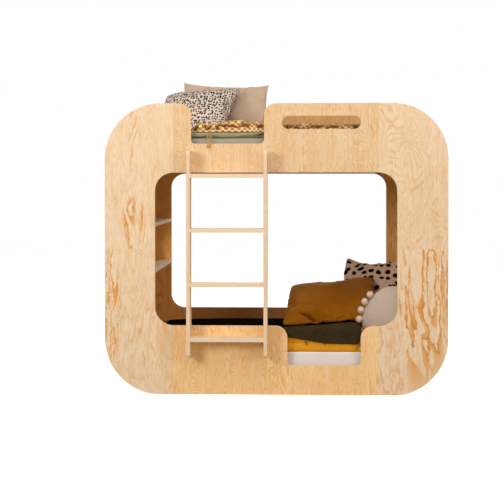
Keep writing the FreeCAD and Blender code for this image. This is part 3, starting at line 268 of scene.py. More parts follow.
camera_data = bpy.data.cameras.new("camera")
camera_data.sensor_width = SENSOR_MM
camera_data.lens = FOCAL_PIXELS * SENSOR_MM / FRAME_PIXELS
camera_data.shift_x, camera_data.shift_y = CAMERA_SHIFT
camera_data.clip_end = 100
camera = add_object("camera", camera_data)
yaw, pitch, roll = [math.radians(angle) for angle in CAMERA_TURN]
camera.matrix_world = (Matrix.Translation(CAMERA_PLACE) @ Matrix.Rotation(yaw, 4, "Z")
                       @ Matrix.Rotation(math.pi / 2 + pitch, 4, "X")
                       @ Matrix.Rotation(roll, 4, "Z"))
scene.camera = camera


# Light: a broad window to the front left, soft ones above, behind and right, a weak sky all round

def area_light(name, place, aim, width, height, power, colour):
    data = bpy.data.lights.new(name, "AREA")
    settle(data, {"shape": "RECTANGLE", "size": width, "size_y": height, "energy": power,
                  "color": colour})
    lamp = add_object(name, data)
    lamp.location = place
    lamp.rotation_euler = (Vector(aim) - Vector(place)).to_track_quat("-Z", "Y").to_euler()


area_light("window_light", (-3.9, -4.6, 2.6), (0, 0, 0.9), 1.8, 1.8, 172, (0.98, 0.98, 0.96))
area_light("top_light", (0.3, -2.6, 4.6), (0, 0, 0.7), 3.0, 2.4, 100, (1.0, 0.99, 0.97))
area_light("back_light", (0.6, 5.6, 3.6), (0, 0, 0.9), 3.0, 2.4, 90, (1.0, 0.98, 0.95))
area_light("right_light", (4.2, -4.2, 1.8), (0, 0, 0.8), 2.5, 2.5, 92, (1.0, 0.97, 0.93))

SKY_TINT = (1.0, 0.96, 0.90, 1)
SKY_LEVEL = 0.13
scene.world = bpy.data.worlds.new("sky")
sky = Graph(scene.world)
backdrop = sky.node("Background", {"Color": (1, 1, 1, 1)})
weak = sky.node("Background", {"Color": SKY_TINT, "Strength": SKY_LEVEL})
either = sky.node("MixShader", {0: sky.shown_ray(), 1: weak, 2: backdrop})
sky.add("OutputWorld", {"Surface": either})

FLOOR_REACH = 14
FLOOR_GLOW = 0.9
FLOOR_TINT = (0.42, 0.36, 0.30, 1)
floor = mesh_piece("floor", [(x * FLOOR_REACH, y * FLOOR_REACH, 0) for x, y in
                             ((-1, -1), (1, -1), (1, 1), (-1, 1))], [(0, 1, 2, 3)])
g = surface("floor_white")
near_white = g.ramp(g.noise(g.place(), 3.0), (0.3, 0.95), (0.7, 0.97))
floor.data.materials.append(g.finish(
    colour=g.mix(g.shown_ray(), FLOOR_TINT, near_white), roughness=0.9, specular=0.0,
    glow=near_white, emission_strength=g.shown_ray() * FLOOR_GLOW))


# Plywood and pine

PALE = linear(240, 218, 188)
STRAW = linear(230, 192, 138)
AMBER = linear(222, 156, 74)
BROWN = linear(180, 118, 60)
PLY_EDGE = linear(238, 207, 170)
END_GRAIN = linear(205, 158, 110), linear(226, 186, 140)
PLY_LAYERS = 9
PLY = 21 * MM
END_MIDDLE = 811.5 * MM
LEAF_STEP = 5.37


def wood(name, grain="z", thick="y", pale=PALE, straw=STRAW, amber=AMBER, seed=0.0, bands=22,
         wide=3.4, tall=0.62, late=0.20, line=0.35, blobs=(), streak=0.45, split=(),
         layer_start=0.0, edge=PLY_EDGE, jag=0.030, whorl=0.9, fleck=0.32, cloud=0.32,
         broken=0.1, fray=0.012, crisp=0.0, outside=False):
    """Plywood: rotary veneer on its faces and stacked plies on its edges.

    grain is the axis the grain runs along and thick the one through the sheet. The figure is the
    level lines of a slow field, so late wood is broad where the field is flat. blobs are places
    (across, along, half width, half height in millimetres, strength) where the late wood is deep.
    split lists the joints between leaves of veneer. outside gives the faces that look backwards, and
    what lies beyond the end panels, the plain colours, so the darker colours given are painted shade
    on the faces inside the bed.
    """
    g = surface(name)
    place = g.place()
    coords = dict(zip("xyz", g.parts(place)))
    normal = dict(zip("xyz", g.parts(g.node("NewGeometry", out=3))))
    # Painted shade: the given colours stay only on the faces inside the bed.
    if outside:
        beyond = g.math("MAXIMUM", abs(coords["x"]) > END_MIDDLE, normal["y"] > 0.5)
        pale, straw, amber = [g.mix(beyond, inner, outer) for inner, outer in
                              ((pale, PALE), (straw, STRAW), (amber, AMBER))]
    across = coords[next(axis for axis in "xyz" if axis not in (grain, thick))]
    along, through = coords[grain], coords[thick]
    leaf = seed
    for index, joint in enumerate(split):
        leaf = (across > joint * MM) * (LEAF_STEP + index) + leaf
    sheet = g.joined(across, along, leaf)
    wander = (g.grain(sheet, 2.6, 1.1, 2.0, 0.5) - 0.5) * 0.14
    ragged = (g.grain(sheet, 34, 9, 5.0, 0.72) - 0.5) * jag
    veneer = g.joined(across + wander + ragged, along, leaf)
    broad = g.grain(veneer, 7, 0.8, 3.0, 0.55)
    fibres = g.grain(veneer, 420, 7)
    frayed = (g.grain(sheet, 75, 17, 4.0, 0.68) - 0.5) * fray
    field = g.grain(veneer, wide, tall, 2.2, 0.42, whorl) + frayed
    turns = g.math("FRACT", field * bands)
    wave = g.ramp(turns, (0.0, 0.0), (0.50 + 0.08 * crisp, 0.0), (0.66, 0.45 + 0.45 * crisp),
                  (0.80, 1.0), (0.97, 1.0), (1.0, 0.0))
    thin = g.ramp(turns, (0.86, 0.0), (0.94, 1.0), (0.985, 1.0), (1.0, 0.0))
    depth = late
    for middle_a, middle_b, half_a, half_b, strength in blobs:
        off_a = (across - middle_a * MM) / (half_a * MM)
        off_b = (along - middle_b * MM) / (half_b * MM)
        far = off_a * off_a + off_b * off_b + (broad - 0.5) * 1.6
        depth = g.math("MAXIMUM", depth, g.ramp(far, (0.35, 1.0), (1.0, 0.0)) * strength)
    uneven = g.ramp(g.grain(veneer, 12, 2.2, 2.5, shift=(3.1, 8.2, 0)), (0.36, broken), (0.60, 1.0))
    flame = g.math("MULTIPLY", wave * depth, uneven, clamp=True)
    hair = g.math("MULTIPLY", thin, (depth + 0.25) * line, clamp=True)
    colour = g.mix(g.rise(broad, 0.40, 0.70) * 0.35, pale, straw)
    streaks = g.grain(veneer, 85, 2.4, 3.0, 0.65)
    flecks = g.grain(sheet, 190, 26)
    clouds = g.grain(sheet, 20, 8, shift=(5.5, 2.5, 0))
    for marks, low, high, share, tone in ((streaks, 0.42, 0.66, streak, straw),
                                          (flecks, 0.45, 0.68, fleck, amber),
                                          (clouds, 0.52, 0.72, cloud, amber)):
        colour = g.mix(g.rise(marks, low, high) * share, colour, tone)
    colour = g.mix(hair, g.mix(flame, colour, amber), BROWN)
    colour = g.tinted(colour, g.ramp(fibres, (0.32, 0.93), (0.62, 1.0)))
    layer = (through - layer_start) / (PLY / PLY_LAYERS)
    parity = g.math("MODULO", layer + 40.0, 2.0) > 1.0
    glue_line = g.ramp(g.math("PINGPONG", layer, 0.5), (0.0, 0.75), (0.09, 1.0))
    grit = g.noise(g.scaled(place, (300, 300, 300)), 1.0, 2.0, 0.6)
    ply = g.mix(parity * 0.62, edge, g.mix(g.rise(grit, 0.35, 0.65), *END_GRAIN))
    facing = abs(normal[thick]) > 0.72
    return g.finish(colour=g.mix(facing, g.tinted(ply, glue_line), colour), specular=0.28,
                    roughness=g.ramp(fibres, (0.3, 0.60), (0.7, 0.50)),
                    normal=g.bump(fibres * 0.6 + flame * -0.3, 0.22, 0.0006))


# Panel frames: outlines in the front view, in millimetres

HALF_LENGTH = 960
HALF_WINDOW = 678
SEAM_X = 575
SEAM_Z = 816
TOP = 1632
CORNER = 312
ARC_STEP = 3
NOTCH = {"near": 65, "far": 474.5, "round": 67, "root": 24}
UPPER_FLOOR = 1406
LOWER_FLOOR = 164
SLOT = {"left": 35, "right": 474.5, "low": 1487, "high": 1560}
EDGE_BEVEL = 0.9 * MM


def arc(centre_x, centre_z, radius, start, end):
    """Points of an arc from one angle to another, in degrees."""
    steps = max(2, round(abs(end - start) / ARC_STEP))
    angles = [math.radians(start + (end - start) * i / steps) for i in range(steps + 1)]
    return [(centre_x + radius * math.cos(a), centre_z + radius * math.sin(a)) for a in angles]


def corner_outline(left, upper, edge_z, radius):
    """Corner piece of a frame: outer corner, window corner and two seams."""
    way, rim = (1, TOP) if upper else (-1, 0)
    points = ([(HALF_WINDOW, SEAM_Z)]
              + arc(HALF_WINDOW - radius, edge_z - way * radius, radius, 0, way * 90)
              + [(SEAM_X, edge_z), (SEAM_X, rim)]
              + arc(HALF_LENGTH - CORNER, rim - way * CORNER, CORNER, way * 90, 0)
              + [(HALF_LENGTH, SEAM_Z)])
    if left:
        points = [(-x, z) for x, z in reversed(points)]
    return [point for point, last in zip(points, [(0, 0)] + points) if math.dist(point, last) > 0.01]


def rail_outline(bottom, top, notch):
    points = [(-SEAM_X, bottom), (SEAM_X, bottom), (SEAM_X, top)]
    if notch:
        near_x, far_x, floor_z = notch
        wide, tight = NOTCH["round"], NOTCH["root"]
        points += reversed(arc(near_x - wide, top - wide, wide, 90, 0)
                           + arc(near_x + tight, floor_z + tight, tight, 180, 270)
                           + arc(far_x - tight, floor_z + tight, tight, 270, 360)
                           + arc(far_x + wide, top - wide, wide, 180, 90))
    return points + [(-SEAM_X, top)]


def slot_outline():
    radius = (SLOT["high"] - SLOT["low"]) / 2
    middle = (SLOT["high"] + SLOT["low"]) / 2
    return (arc(SLOT["right"] - radius, middle, radius, -90, 90)
            + arc(SLOT["left"] + radius, middle, radius, 90, 270))


def sheet_piece(name, outlines, low_y):
    """Board cut to outlines in the front view, with small chamfers on all its edges."""
    mesh = curve_mesh([[(x * MM, z * MM, 0) for x, z in outline] for outline in outlines], "POLY",
                      {"dimensions": "2D", "fill_mode": "BOTH", "extrude": PLY / 2 - EDGE_BEVEL,
                       "bevel_depth": EDGE_BEVEL, "bevel_resolution": 0, "offset": -EDGE_BEVEL},
                      {"use_cyclic_u": True})
    mesh.transform(Matrix(((1, 0, 0, 0), (0, 0, -1, low_y * MM + PLY / 2), (0, 1, 0, 0),
                           (0, 0, 0, 1))))
    build = bmesh.new()
    build.from_mesh(mesh)
    bpy.data.meshes.remove(mesh)
    bmesh.ops.remove_doubles(build, verts=build.verts, dist=1e-6)
    bmesh.ops.recalc_face_normals(build, faces=build.faces)
    piece = built_piece(name, build)
    smooth(piece.data, 25)
    return piece


# Each frame's front, the window's lower and upper edge and its corners' radius
FRAMES = {"front": (-392.5, 386, 1244, 103), "back": (466.5, 397, 1242, 86)}
NOTCHES = {"upper": (-NOTCH["far"], -NOTCH["near"], UPPER_FLOOR),
           "lower": (NOTCH["near"], NOTCH["far"], LOWER_FLOOR)}
CORNER_LOOKS = {
    "front_corner_upper_left": dict(
        seed=12.9, late=0.14, line=0.30, wide=5.5, tall=0.9, whorl=0.7, streak=0.3, broken=0.4,
        fray=0.045, blobs=((-800, 1430, 34, 260, 0.7), (-800, 955, 75, 170, 1.0),
                           (-930, 1300, 40, 160, 0.3))),
    "front_corner_lower_left": dict(
        seed=8.6, late=0.16, line=0.40, wide=5.0, tall=0.8, streak=0.3, jag=0.05, broken=0.8,
        fray=0.035, crisp=1.0, amber=linear(226, 156, 62),
        blobs=((-925, 480, 60, 380, 1.0), (-700, 330, 140, 190, 0.4))),
    "front_corner_upper_right": dict(
        seed=14.2, late=0.3, bands=34, tall=1.5, whorl=1.3, streak=0.35, jag=0.02),
    "front_corner_lower_right": dict(
        seed=24.3, late=0.3, line=0.6, bands=10, wide=4.6, tall=1.1, whorl=1.5, jag=0.06,
        streak=0.35, broken=0.7, split=(693,), fray=0.045, crisp=1.0, amber=linear(224, 150, 54),
        blobs=((835, 480, 150, 520, 1.0),)),
    # The back frame's deeper, more saturated colours are painted shade on its inner faces, darker on
    # the left than on the right.
    "back_left": dict(pale=linear(240, 180, 98), straw=linear(228, 158, 70), late=0.4, broken=0.5,
                      amber=linear(200, 118, 38)),
    "back_right": dict(pale=linear(255, 212, 134), straw=linear(252, 190, 108), late=0.5,
                       broken=0.5, amber=linear(220, 140, 60))}
RAIL = dict(bands=36, wide=9, tall=1.5, line=0.35, jag=0.014, streak=0.5, fleck=0.4)
RAIL_LOOKS = {
    "front_top": dict(RAIL, seed=48, late=0.55, pale=linear(234, 210, 174),
                      straw=linear(225, 184, 126)),
    "front_bottom": dict(RAIL, seed=41, late=0.55, pale=linear(250, 216, 164),
                         straw=linear(244, 192, 120), amber=linear(232, 162, 76)),
    # The back rails' deeper colours are painted shade too, darker on the bottom rail.
    "back_top": dict(RAIL, seed=65, late=0.3, pale=linear(214, 166, 108),
                     straw=linear(200, 142, 78), amber=linear(174, 108, 46)),
    "back_bottom": dict(RAIL, seed=58, late=0.3, pale=linear(196, 138, 72),
                        straw=linear(182, 118, 50), amber=linear(158, 90, 28))}


def board(side, part, outlines, look):
    """Finish one of a frame's six boards."""
    node, low_y = f"{side}_{part}", FRAMES[side][0]
    veneer = wood(f"veneer_{node}", layer_start=low_y * MM, outside=side == "back", **look)
    finished(sheet_piece(f"panel_{node}", outlines, low_y), veneer, "plywood", node)


for side, (low_y, window_low, window_high, window_radius) in FRAMES.items():
    for index, part in enumerate(f"corner_{a}_{b}" for a in ("upper", "lower")
                                 for b in ("left", "right")):
        edge_z = window_high if "upper" in part else window_low
        look = CORNER_LOOKS.get(f"{side}_{part}")
        if not look:
            look = dict(CORNER_LOOKS[f"back_{part.split('_')[2]}"], seed=31.0 + 4 * index)
        board(side, part, [corner_outline("left" in part, "upper" in part, edge_z, window_radius)],
              look)
    for part, low, high, level in (("top", window_high, TOP, "upper"),
                                   ("bottom", 0, window_low, "lower")):
        outlines = [rail_outline(low, high, NOTCHES[level] if side == "front" else None)]
        if side == "front" and level == "upper":
            outlines.append(slot_outline())
        board(side, f"{part}_rail", outlines, RAIL_LOOKS[f"{side}_{part}"])


# Cloth: materials

def fabric(name, colour, thread=1.0, mottled=0.10, sheen=0.25, pattern=None, relief=0.35,
           flat=True, extra=None, sheen_tint=None, slub=0.93, hollow=None, shine=0.2):
    """Woven cloth: threads as relief, uneven dye, fine fuzz; a pattern gives its own colour.

    flat cloth takes its place from its own lengths. A shade colour, when given, is painted shade,
    mixed in by each point's stored share of painted shade: deep in folds and creases, and over the
    back of the blanket.
    """
    g = surface(name)
    spot = g.node("UVMap", uv_map="cloth") if flat else g.place()
    turn = 2 * math.pi / (thread * MM)
    warp, weft = [g.math("SINE", side * turn) for side in g.parts(spot)[:2]]
    uneven = g.noise(spot, 14, 4, 0.6)
    slubs = g.grain(spot, 420, 36)
    seen = pattern(g, spot) if pattern else colour
    seen = g.tinted(seen, g.ramp(uneven, (0.32, 1 - mottled), (0.68, 1.0)))
    seen = g.tinted(seen, g.ramp(slubs, (0.35, slub), (0.65, 1.0)))
    if hollow:
        # Painted shade: the stored share darkens the cloth towards the shade colour.
        fold = g.node("Attribute", out=2, attribute_name="hollow")
        seen = g.mix(g.ramp(fold, (0.25, 0.0), (0.95, 0.9)), seen, hollow)
    normal = g.bump(warp * weft * 0.35 + slubs * 0.5, relief, 0.0005)
    if extra:
        normal = extra(g, spot, normal)
    return g.finish(colour=seen, roughness=g.ramp(slubs, (0.3, 0.88), (0.7, 0.80)), normal=normal,
                    specular=shine, sheen=sheen, sheen_roughness=0.45, sheen_tint=sheen_tint)


def spotted(ground, ink, pitch, size, stretch, small=0.0):
    """Oval spots set at random over a plain ground, with some smaller marks between them."""
    pitch *= MM
    soft = 0.03

    def pattern(g, spot):
        drift = g.node("TexNoise", {"Vector": spot, "Scale": 0.55 / pitch, "Detail": 1.0}, out=1)
        moved = g.node("VectorMath", {0: drift, 3: pitch * 0.5}, operation="SCALE")
        bent = g.node("VectorMath", {0: spot, 1: moved}, operation="ADD")
        cells = g.cells(g.scaled(bent, (1.0, stretch, 1.0)), 1 / pitch, 0.72)
        wobble = g.noise(spot, 2.2 / pitch, 2, 0.5)
        chance = g.parts(Wire(g, cells["Color"]))[0]
        far = Wire(g, cells["Distance"]) + (wobble - 0.5) * 0.14 + (chance - 0.5) * 0.12
        mark = g.ramp(far, (size - soft, 1.0), (size + soft, 0.0))
        if small:
            tiny = g.cells(spot, 1.9 / pitch)
            fleck = g.ramp(Wire(g, tiny["Distance"]), (small - soft, 1.0), (small + soft, 0.0))
            sparse = g.parts(Wire(g, tiny["Color"]))[1] > 0.72
            mark = g.math("MAXIMUM", mark, fleck * sparse * (far > size + 3 * soft))
        return g.mix(mark, ground, ink)
    return pattern


def checks(first, second, pitch):
    """Small two-colour checks."""
    def pattern(g, spot):
        one, two = [g.rise(g.math("PINGPONG", side / (pitch * MM), 1.0), 0.44, 0.56)
                    for side in g.parts(spot)[:2]]
        differ = one + two - one * two * 2.0
        return g.mix(differ * 0.9 + one * 0.1, first, second)
    return pattern


def slanting_rib(g, spot, pitch):
    u, v, w = g.parts(spot)
    return g.math("PINGPONG", (u * 0.72 - v * 0.70) / (pitch * MM), 0.5)


def ribbed(low, high, pitch):
    """Colour of slanting ribs, with painted shade in the grooves."""
    def pattern(g, spot):
        stitch = g.grain(spot, 160, 160, 2.0)
        share = slanting_rib(g, spot, pitch) * 1.5 + stitch * 0.5
        return g.mix(g.rise(share, 0.3, 0.85), low, high)
    return pattern


def knit(pitch):
    """Slanting knitted ribs added to the weave."""
    def relief(g, spot, normal):
        u, v, w = g.parts(spot)
        stitch = g.math("PINGPONG", (u - v) / (pitch * MM * 0.5), 0.5)
        return g.bump(slanting_rib(g, spot, pitch) * 1.6 + stitch * 0.5, 0.9, 0.004, normal)
    return relief


# Cloth: shapes

def set_painted_shade(piece, values):
    """Store each point's share of painted shade, from 0 to 1, mostly how deep it lies in a fold."""
    piece.data.attributes.new("hollow", "FLOAT", "POINT").data.foreach_set("value", values)


def grid_mesh(name, rows, closed=False, hollows=None):
    """Surface through rows of points in millimetres, with its own lengths as UVs.

    A closed one joins each row to a ring and has a face at both ends.
    """
    count = len(rows[0])
    middle = count // 2
    points = [[c * MM for c in p] for row in rows for p in row]
    along, across = [0.0], []
    for a, b in zip(rows, rows[1:]):
        along.append(along[-1] + math.dist(a[middle], b[middle]) * MM)
    for row in rows:
        across.append([0.0])
        for a, b in zip(row, row[1:] + row[:1]):
            across[-1].append(across[-1][-1] + math.dist(a, b) * MM)
    faces, uvs = [], []
    for i in range(len(rows) - 1):
        for j in range(count if closed else count - 1):
            spots = ((i, j), (i, j + 1), (i + 1, j + 1), (i + 1, j))
            faces.append([k * count + m % count for k, m in spots])
            uvs += [(along[k], across[k][m]) for k, m in spots]
    for first, order in ((0, -1), (len(points) - count, 1)) if closed else ():
        ring = range(first, first + count)[::order]
        faces.append(ring)
        uvs += [points[k][1:] for k in ring]
    piece = mesh_piece(name, points, faces, uvs)
    if hollows:
        set_painted_shade(piece, [value for row in hollows for value in row])
    return piece


def outward(piece):
    """Turn a closed piece's faces outwards."""
    build = bmesh.new()
    build.from_mesh(piece.data)
    bmesh.ops.recalc_face_normals(build, faces=build.faces)
    if build.calc_volume(signed=True) < 0:
        bmesh.ops.reverse_faces(build, faces=build.faces)
    build.to_mesh(piece.data)
    build.free()


def closed_mesh(name, rows, **settings):
    piece = grid_mesh(name, rows, closed=True, **settings)
    outward(piece)
    return piece


def rumple(x, y, z, size, seed=0.0):
    """Smooth noise from about -1 to 1 at a place in millimetres."""
    return noise.noise(Vector((x / size, y / size, z / size + seed)))


def table(rows, share, column):
    """Value of a column at a share, straight between rows."""
    for first, second in zip(rows, rows[1:]):
        if share <= second[0]:
            part = max(0.0, (share - first[0]) / (second[0] - first[0]))
            return first[column] + part * (second[column] - first[column])
    return rows[-1][column]


def eased(rows, share, column, width=0.012):
    """The same, smoothed."""
    return sum(table(rows, share + width * k, column) for k in (-2, -1, 0, 1, 2)) / 5


def even(low, high, step):
    count = max(1, round((high - low) / step))
    return [low + (high - low) * k / count for k in range(count + 1)]


def round_end(share):
    """Quarter circle from 0 to 1."""
    return math.sqrt(max(0.0, 1 - (1 - min(1.0, share)) ** 2))


# Mattresses

MATTRESS = {"low": (-800, -352.5), "high": (800, 447.5), "tall": 100, "corner": 34}
# From the middle of the underside to mid height: how far in, and how high
MATTRESS_PROFILE = [(60, 0.8), (22, 0.8), (12, 1.4), (7.5, 3.0), (4.4, 5.4), (2.6, 7.6),
                    (1.8, 8.6), (2.2, 9.4), (1.6, 10.4), (1.2, 13), (0.8, 24), (0.2, 38), (0.0, 50)]


def ring_row(inset, z, steps=9):
    """Rounded rectangle around a mattress at a height, pulled in by an inset."""
    (low_x, low_y), (high_x, high_y), corner = [MATTRESS[key] for key in ("low", "high", "corner")]
    radius = max(corner - inset, 2)
    row = []
    for cx, cy, start in ((high_x - corner, high_y - corner, 0),
                          (low_x + corner, high_y - corner, 90),
                          (low_x + corner, low_y + corner, 180),
                          (high_x - corner, low_y + corner, 270)):
        for k in range(steps + 1):
            angle = math.radians(start + 90 * k / steps)
            row.append((cx + radius * math.cos(angle), cy + radius * math.sin(angle), z))
    full = []
    for a, b in zip(row, row[1:] + row[:1]):
        full.append(a)
        if math.dist(a, b) > 60:
            pieces = round(math.dist(a, b) / 22)
            full += [tuple(p + (q - p) * k / pieces for p, q in zip(a, b))
                     for k in range(1, pieces)]
    return full


def mattress(name, base):
    """Foam mattress in a cover with a corded seam round its top and bottom edges."""
    tall = MATTRESS["tall"]
    upper_half = [(inset, tall - z) for inset, z in reversed(MATTRESS_PROFILE[:-1])]
    rows = []
    for inset, z in MATTRESS_PROFILE + upper_half:
        swells = 0.8 * (1 < inset < 30)
        rows.append([(x, y, base + bounded(height + swells * rumple(x, y, height, 90, 5), 0, tall))
                     for x, y, height in ring_row(inset, z)])
    piece = closed_mesh(name, rows)
    smooth(piece.data, 60)
    return piece


# The upper cover's darker grey-green is painted shade; the lower one has the cover's own colour.
for node, base, cover in (("lower_mattress", 138, linear(230, 222, 219)),
                          ("upper_mattress", 1338, linear(164, 157, 137))):
    pad = mattress(f"cover_{node}", base)
    finished(pad, fabric(f"cotton_{node}", cover, thread=1.6, mottled=0.04, relief=0.2, flat=False,
                         slub=0.98), "mattress", node)


# Quilts and blanket

FRONT_HEM = -345
BACK_HEM = 440
BULGE = 7
QUILT_LEFT = -790
QUILT_LENGTH = 1286
QUILT_HEIGHT = 154.5
LOWER_BED = 238.5
UPPER_BED = 1438.5
SHOULDER = 32
REAR_ROUND = 24
RIDGE = FRONT_HEM + SHOULDER
RIDGE_WIDTH = 130
RIDGE_DROP = 30
QUILT_SHARES = [(0, 0.45, 0.40), (0.02, 0.53, 0.45), (0.137, 0.62, 0.50), (0.374, 0.72, 0.55),
                (0.634, 0.81, 0.55), (0.75, 0.85, 0.55), (0.827, 0.90, 0.55),
                (0.897, 0.95, 0.55), (0.955, 1, 0.55), (0.985, 0.95, 0.53), (1, 0.72, 0.45)]
# Creases in the quilt's front: place, lean, lower and upper end, half width, strength; the strength
# also sets their painted shade
CREASES = [(96, 0.3, 276, 330, 11, 0.35), (176, -0.2, 264, 312, 9, 1.0),
           (212, 0.6, 244, 286, 5, 0.4), (274, 0.1, 266, 306, 7, 0.85),
           (352, -0.9, 242, 272, 9, 0.35), (446, 0.8, 240, 300, 11, 0.7),
           (-180, 0.3, 242, 330, 9, 0.8), (-420, -0.2, 244, 310, 10, 0.8)]


def quilt_levels(x):
    share = (x - QUILT_LEFT) / QUILT_LENGTH
    front, back = [LOWER_BED + eased(QUILT_SHARES, share, column) * QUILT_HEIGHT
                   for column in (1, 2)]
    return front, max(front - RIDGE_DROP, back), back


def quilt_top(x, y):
    """Height of the lower quilt's upper side."""
    front, valley, back = quilt_levels(x)
    if y < RIDGE:
        height = front - SHOULDER * (1 - math.sqrt(1 - bounded((RIDGE - y) / SHOULDER) ** 2))
    else:
        wave = 0.5 - 0.5 * math.cos(math.pi * bounded((y - RIDGE) / RIDGE_WIDTH))
        slope = bounded((y - RIDGE - RIDGE_WIDTH) / (BACK_HEM - RIDGE - RIDGE_WIDTH))
        height = front + (valley - front) * wave + (back - valley) * slope
    soft = min(1.0, max(0.0, (y - FRONT_HEM) / 60), (BACK_HEM - y) / 60)
    return height + soft * (2.5 * rumple(x, y, 0, 150) + 1.2 * rumple(x, y, 0, 60, 3) - 3.7)


def crease(x, level):
    """Depth of the creases at a place on the quilt's front, from 0 to 1, also their share of painted
    shade.
    """
    depth = 0.0
    for place, lean, low, high, wide, strength in CREASES:
        middle = place + lean * (level - low) + 3 * rumple(level, place, 0, 30)
        inside = bounded(min((level - low) / 12, (high - level) / 24))
        depth = max(depth, strength * inside * math.exp(-((x - middle) / wide) ** 2))
    return depth


def lower_quilt_row(x):
    """Section of the folded quilt: two swollen folds in front, soft top, rounded back."""
    shoulder = quilt_levels(x)[0] - SHOULDER
    end = round_end(min(x - QUILT_LEFT, QUILT_LEFT + QUILT_LENGTH - x) / 14)
    middle = LOWER_BED + (shoulder - LOWER_BED) * (0.52 + 0.05 * rumple(x, 0, 0, 170, 9))
    row, sunk = [], []
    for low, high in ((LOWER_BED, middle), (middle, shoulder)):
        for k in range(12):
            part = k / 12
            level = low + part * (high - low)
            swell = BULGE * math.sin(math.pi * part) ** 0.55
            fold = 2.2 * rumple(x * 1.6, 0, level * 0.5, 42, 33)
            sunk.append(crease(x, level))
            row.append((x, FRONT_HEM - max(-2.0, swell - 6 * sunk[-1] + min(0.0, fold)), level))
    for k in range(9):
        angle = math.pi / 2 * k / 8
        row.append((x, FRONT_HEM + SHOULDER * (1 - math.cos(angle)),
                    shoulder + SHOULDER * math.sin(angle)))
    rear_y = BACK_HEM - REAR_ROUND
    for k in range(1, 35):
        y = RIDGE + (rear_y - RIDGE) * k / 34
        row.append((x, y, quilt_top(x, y)))
    rear = quilt_top(x, rear_y)
    for k in range(1, 9):
        angle = math.pi / 2 * k / 8
        row.append((x, rear_y + REAR_ROUND * math.sin(angle),
                    rear - REAR_ROUND * (1 - math.cos(angle))))
    row.append((x, BACK_HEM, LOWER_BED + 6))
    row += [(x, BACK_HEM - 4 + (FRONT_HEM - BACK_HEM + 8) * k / 6, LOWER_BED) for k in range(7)]
    row = [(px, py, LOWER_BED + (pz - LOWER_BED) * (0.86 + 0.14 * end)) for px, py, pz in row]
    return row, sunk + [0.0] * (len(row) - len(sunk))


rows, sunk = zip(*[lower_quilt_row(x) for x in even(QUILT_LEFT, QUILT_LEFT + QUILT_LENGTH, 5)])
lower_quilt = closed_mesh("quilt_lower", rows, hollows=sunk)
modify(lower_quilt, "SUBSURF", levels=1, render_levels=1)
smooth(lower_quilt.data)
# The creases are darkened towards a brown with painted shade.
finished(lower_quilt, fabric("mustard_cotton", linear(236, 160, 30), mottled=0.12, thread=1.2,
                             sheen=0.1, hollow=linear(120, 70, 8)), "mustard_cloth", "lower_quilt")

BLANKET = {"left": -691.9, "right": 481.2, "thick": 12, "hang": 110, "back": 435, "clear": 0.5}
RIB_PITCH = 8.5
# Share of its length from the left, its front edge from the back (0) to the front (1), and its hang
EDGE_SHARES = [(0, 0.42, 0), (0.079, 0.66, 0), (0.326, 0.81, 0), (0.59, 0.96, 0),
               (0.612, 1, 0.08), (0.635, 1, 0.36), (0.738, 1, 0.60), (0.823, 1, 0.82),
               (0.965, 1, 1), (0.985, 1, 0.92), (1, 1, 0.45)]


def blanket_row(x):
    """Middle line of the knitted blanket from its back hem, over the quilt and down in front."""
    share = (x - BLANKET["left"]) / (BLANKET["right"] - BLANKET["left"])
    lift = BLANKET["thick"] / 2 + BLANKET["clear"]
    front = FRONT_HEM - BULGE - lift
    edge = BLANKET["back"] + (front - BLANKET["back"]) * eased(EDGE_SHARES, share, 1)
    drop = eased(EDGE_SHARES, share, 2, 0.006) * BLANKET["hang"]
    row, sunk = [], []
    top_steps, hang_steps = 46, 20
    inner = max(edge, RIDGE - 6)
    for k in range(top_steps + 1):
        y = BLANKET["back"] - 6 + (inner - BLANKET["back"] + 6) * k / top_steps
        row.append((x, y, quilt_top(x, y) + lift + 1.5 + 1.5 * rumple(x, y, 0, 38, 50)))
        # Painted shade: the top darkens from the front roll towards the back, nearly to black.
        sunk.append(bounded((y - inner) / 60, high=0.95))
    ridge_z = quilt_top(x, inner) + lift + 1.5
    over = bounded((inner - edge) / (inner - front + 0.01))
    low = quilt_top(x, inner) - drop
    for k in range(1, hang_steps + 1):
        part = k / hang_steps
        if over < 0.02:
            row.append((x, inner - 0.8 * k, row[-1][2] - 0.02 * k))
            continue
        angle = math.pi / 2 * min(1.0, part / 0.32)
        z = ridge_z - (SHOULDER - 4) * (1 - math.cos(angle)) * over
        if part > 0.32:
            z += (min(low, z) - z) * (part - 0.32) / 0.68
        sway = 2.0 * rumple(x, 0, z, 55, 61) * max(0.0, part - 0.3)
        row.append((x, inner + (edge - inner) * math.sin(angle) - max(sway, 0.0) - 0.6, z))
    return row, sunk + [0.0] * (len(row) - len(sunk))


rows, sunk = zip(*[blanket_row(x) for x in even(BLANKET["left"], BLANKET["right"], 10.5)])
blanket = grid_mesh("blanket_knit", rows, hollows=sunk)
modify(blanket, "SOLIDIFY", thickness=BLANKET["thick"] * 0.7 * MM, offset=0.0)
modify(blanket, "SUBSURF", levels=1, render_levels=1)
smooth(blanket.data)
# The near black colour given for the blanket is its painted shade.
finished(blanket, fabric("olive_knit", linear(58, 48, 28), thread=4.0, mottled=0.3, sheen=0.0,
                         shine=0.0, hollow=linear(20, 14, 9), extra=knit(RIB_PITCH),
                         pattern=ribbed(linear(22, 17, 9), linear(90, 75, 47), RIB_PITCH)),
         "green_knit", "lower_blanket")

UPPER_QUILT = {"reach": 792.5, "tall": 33.5}


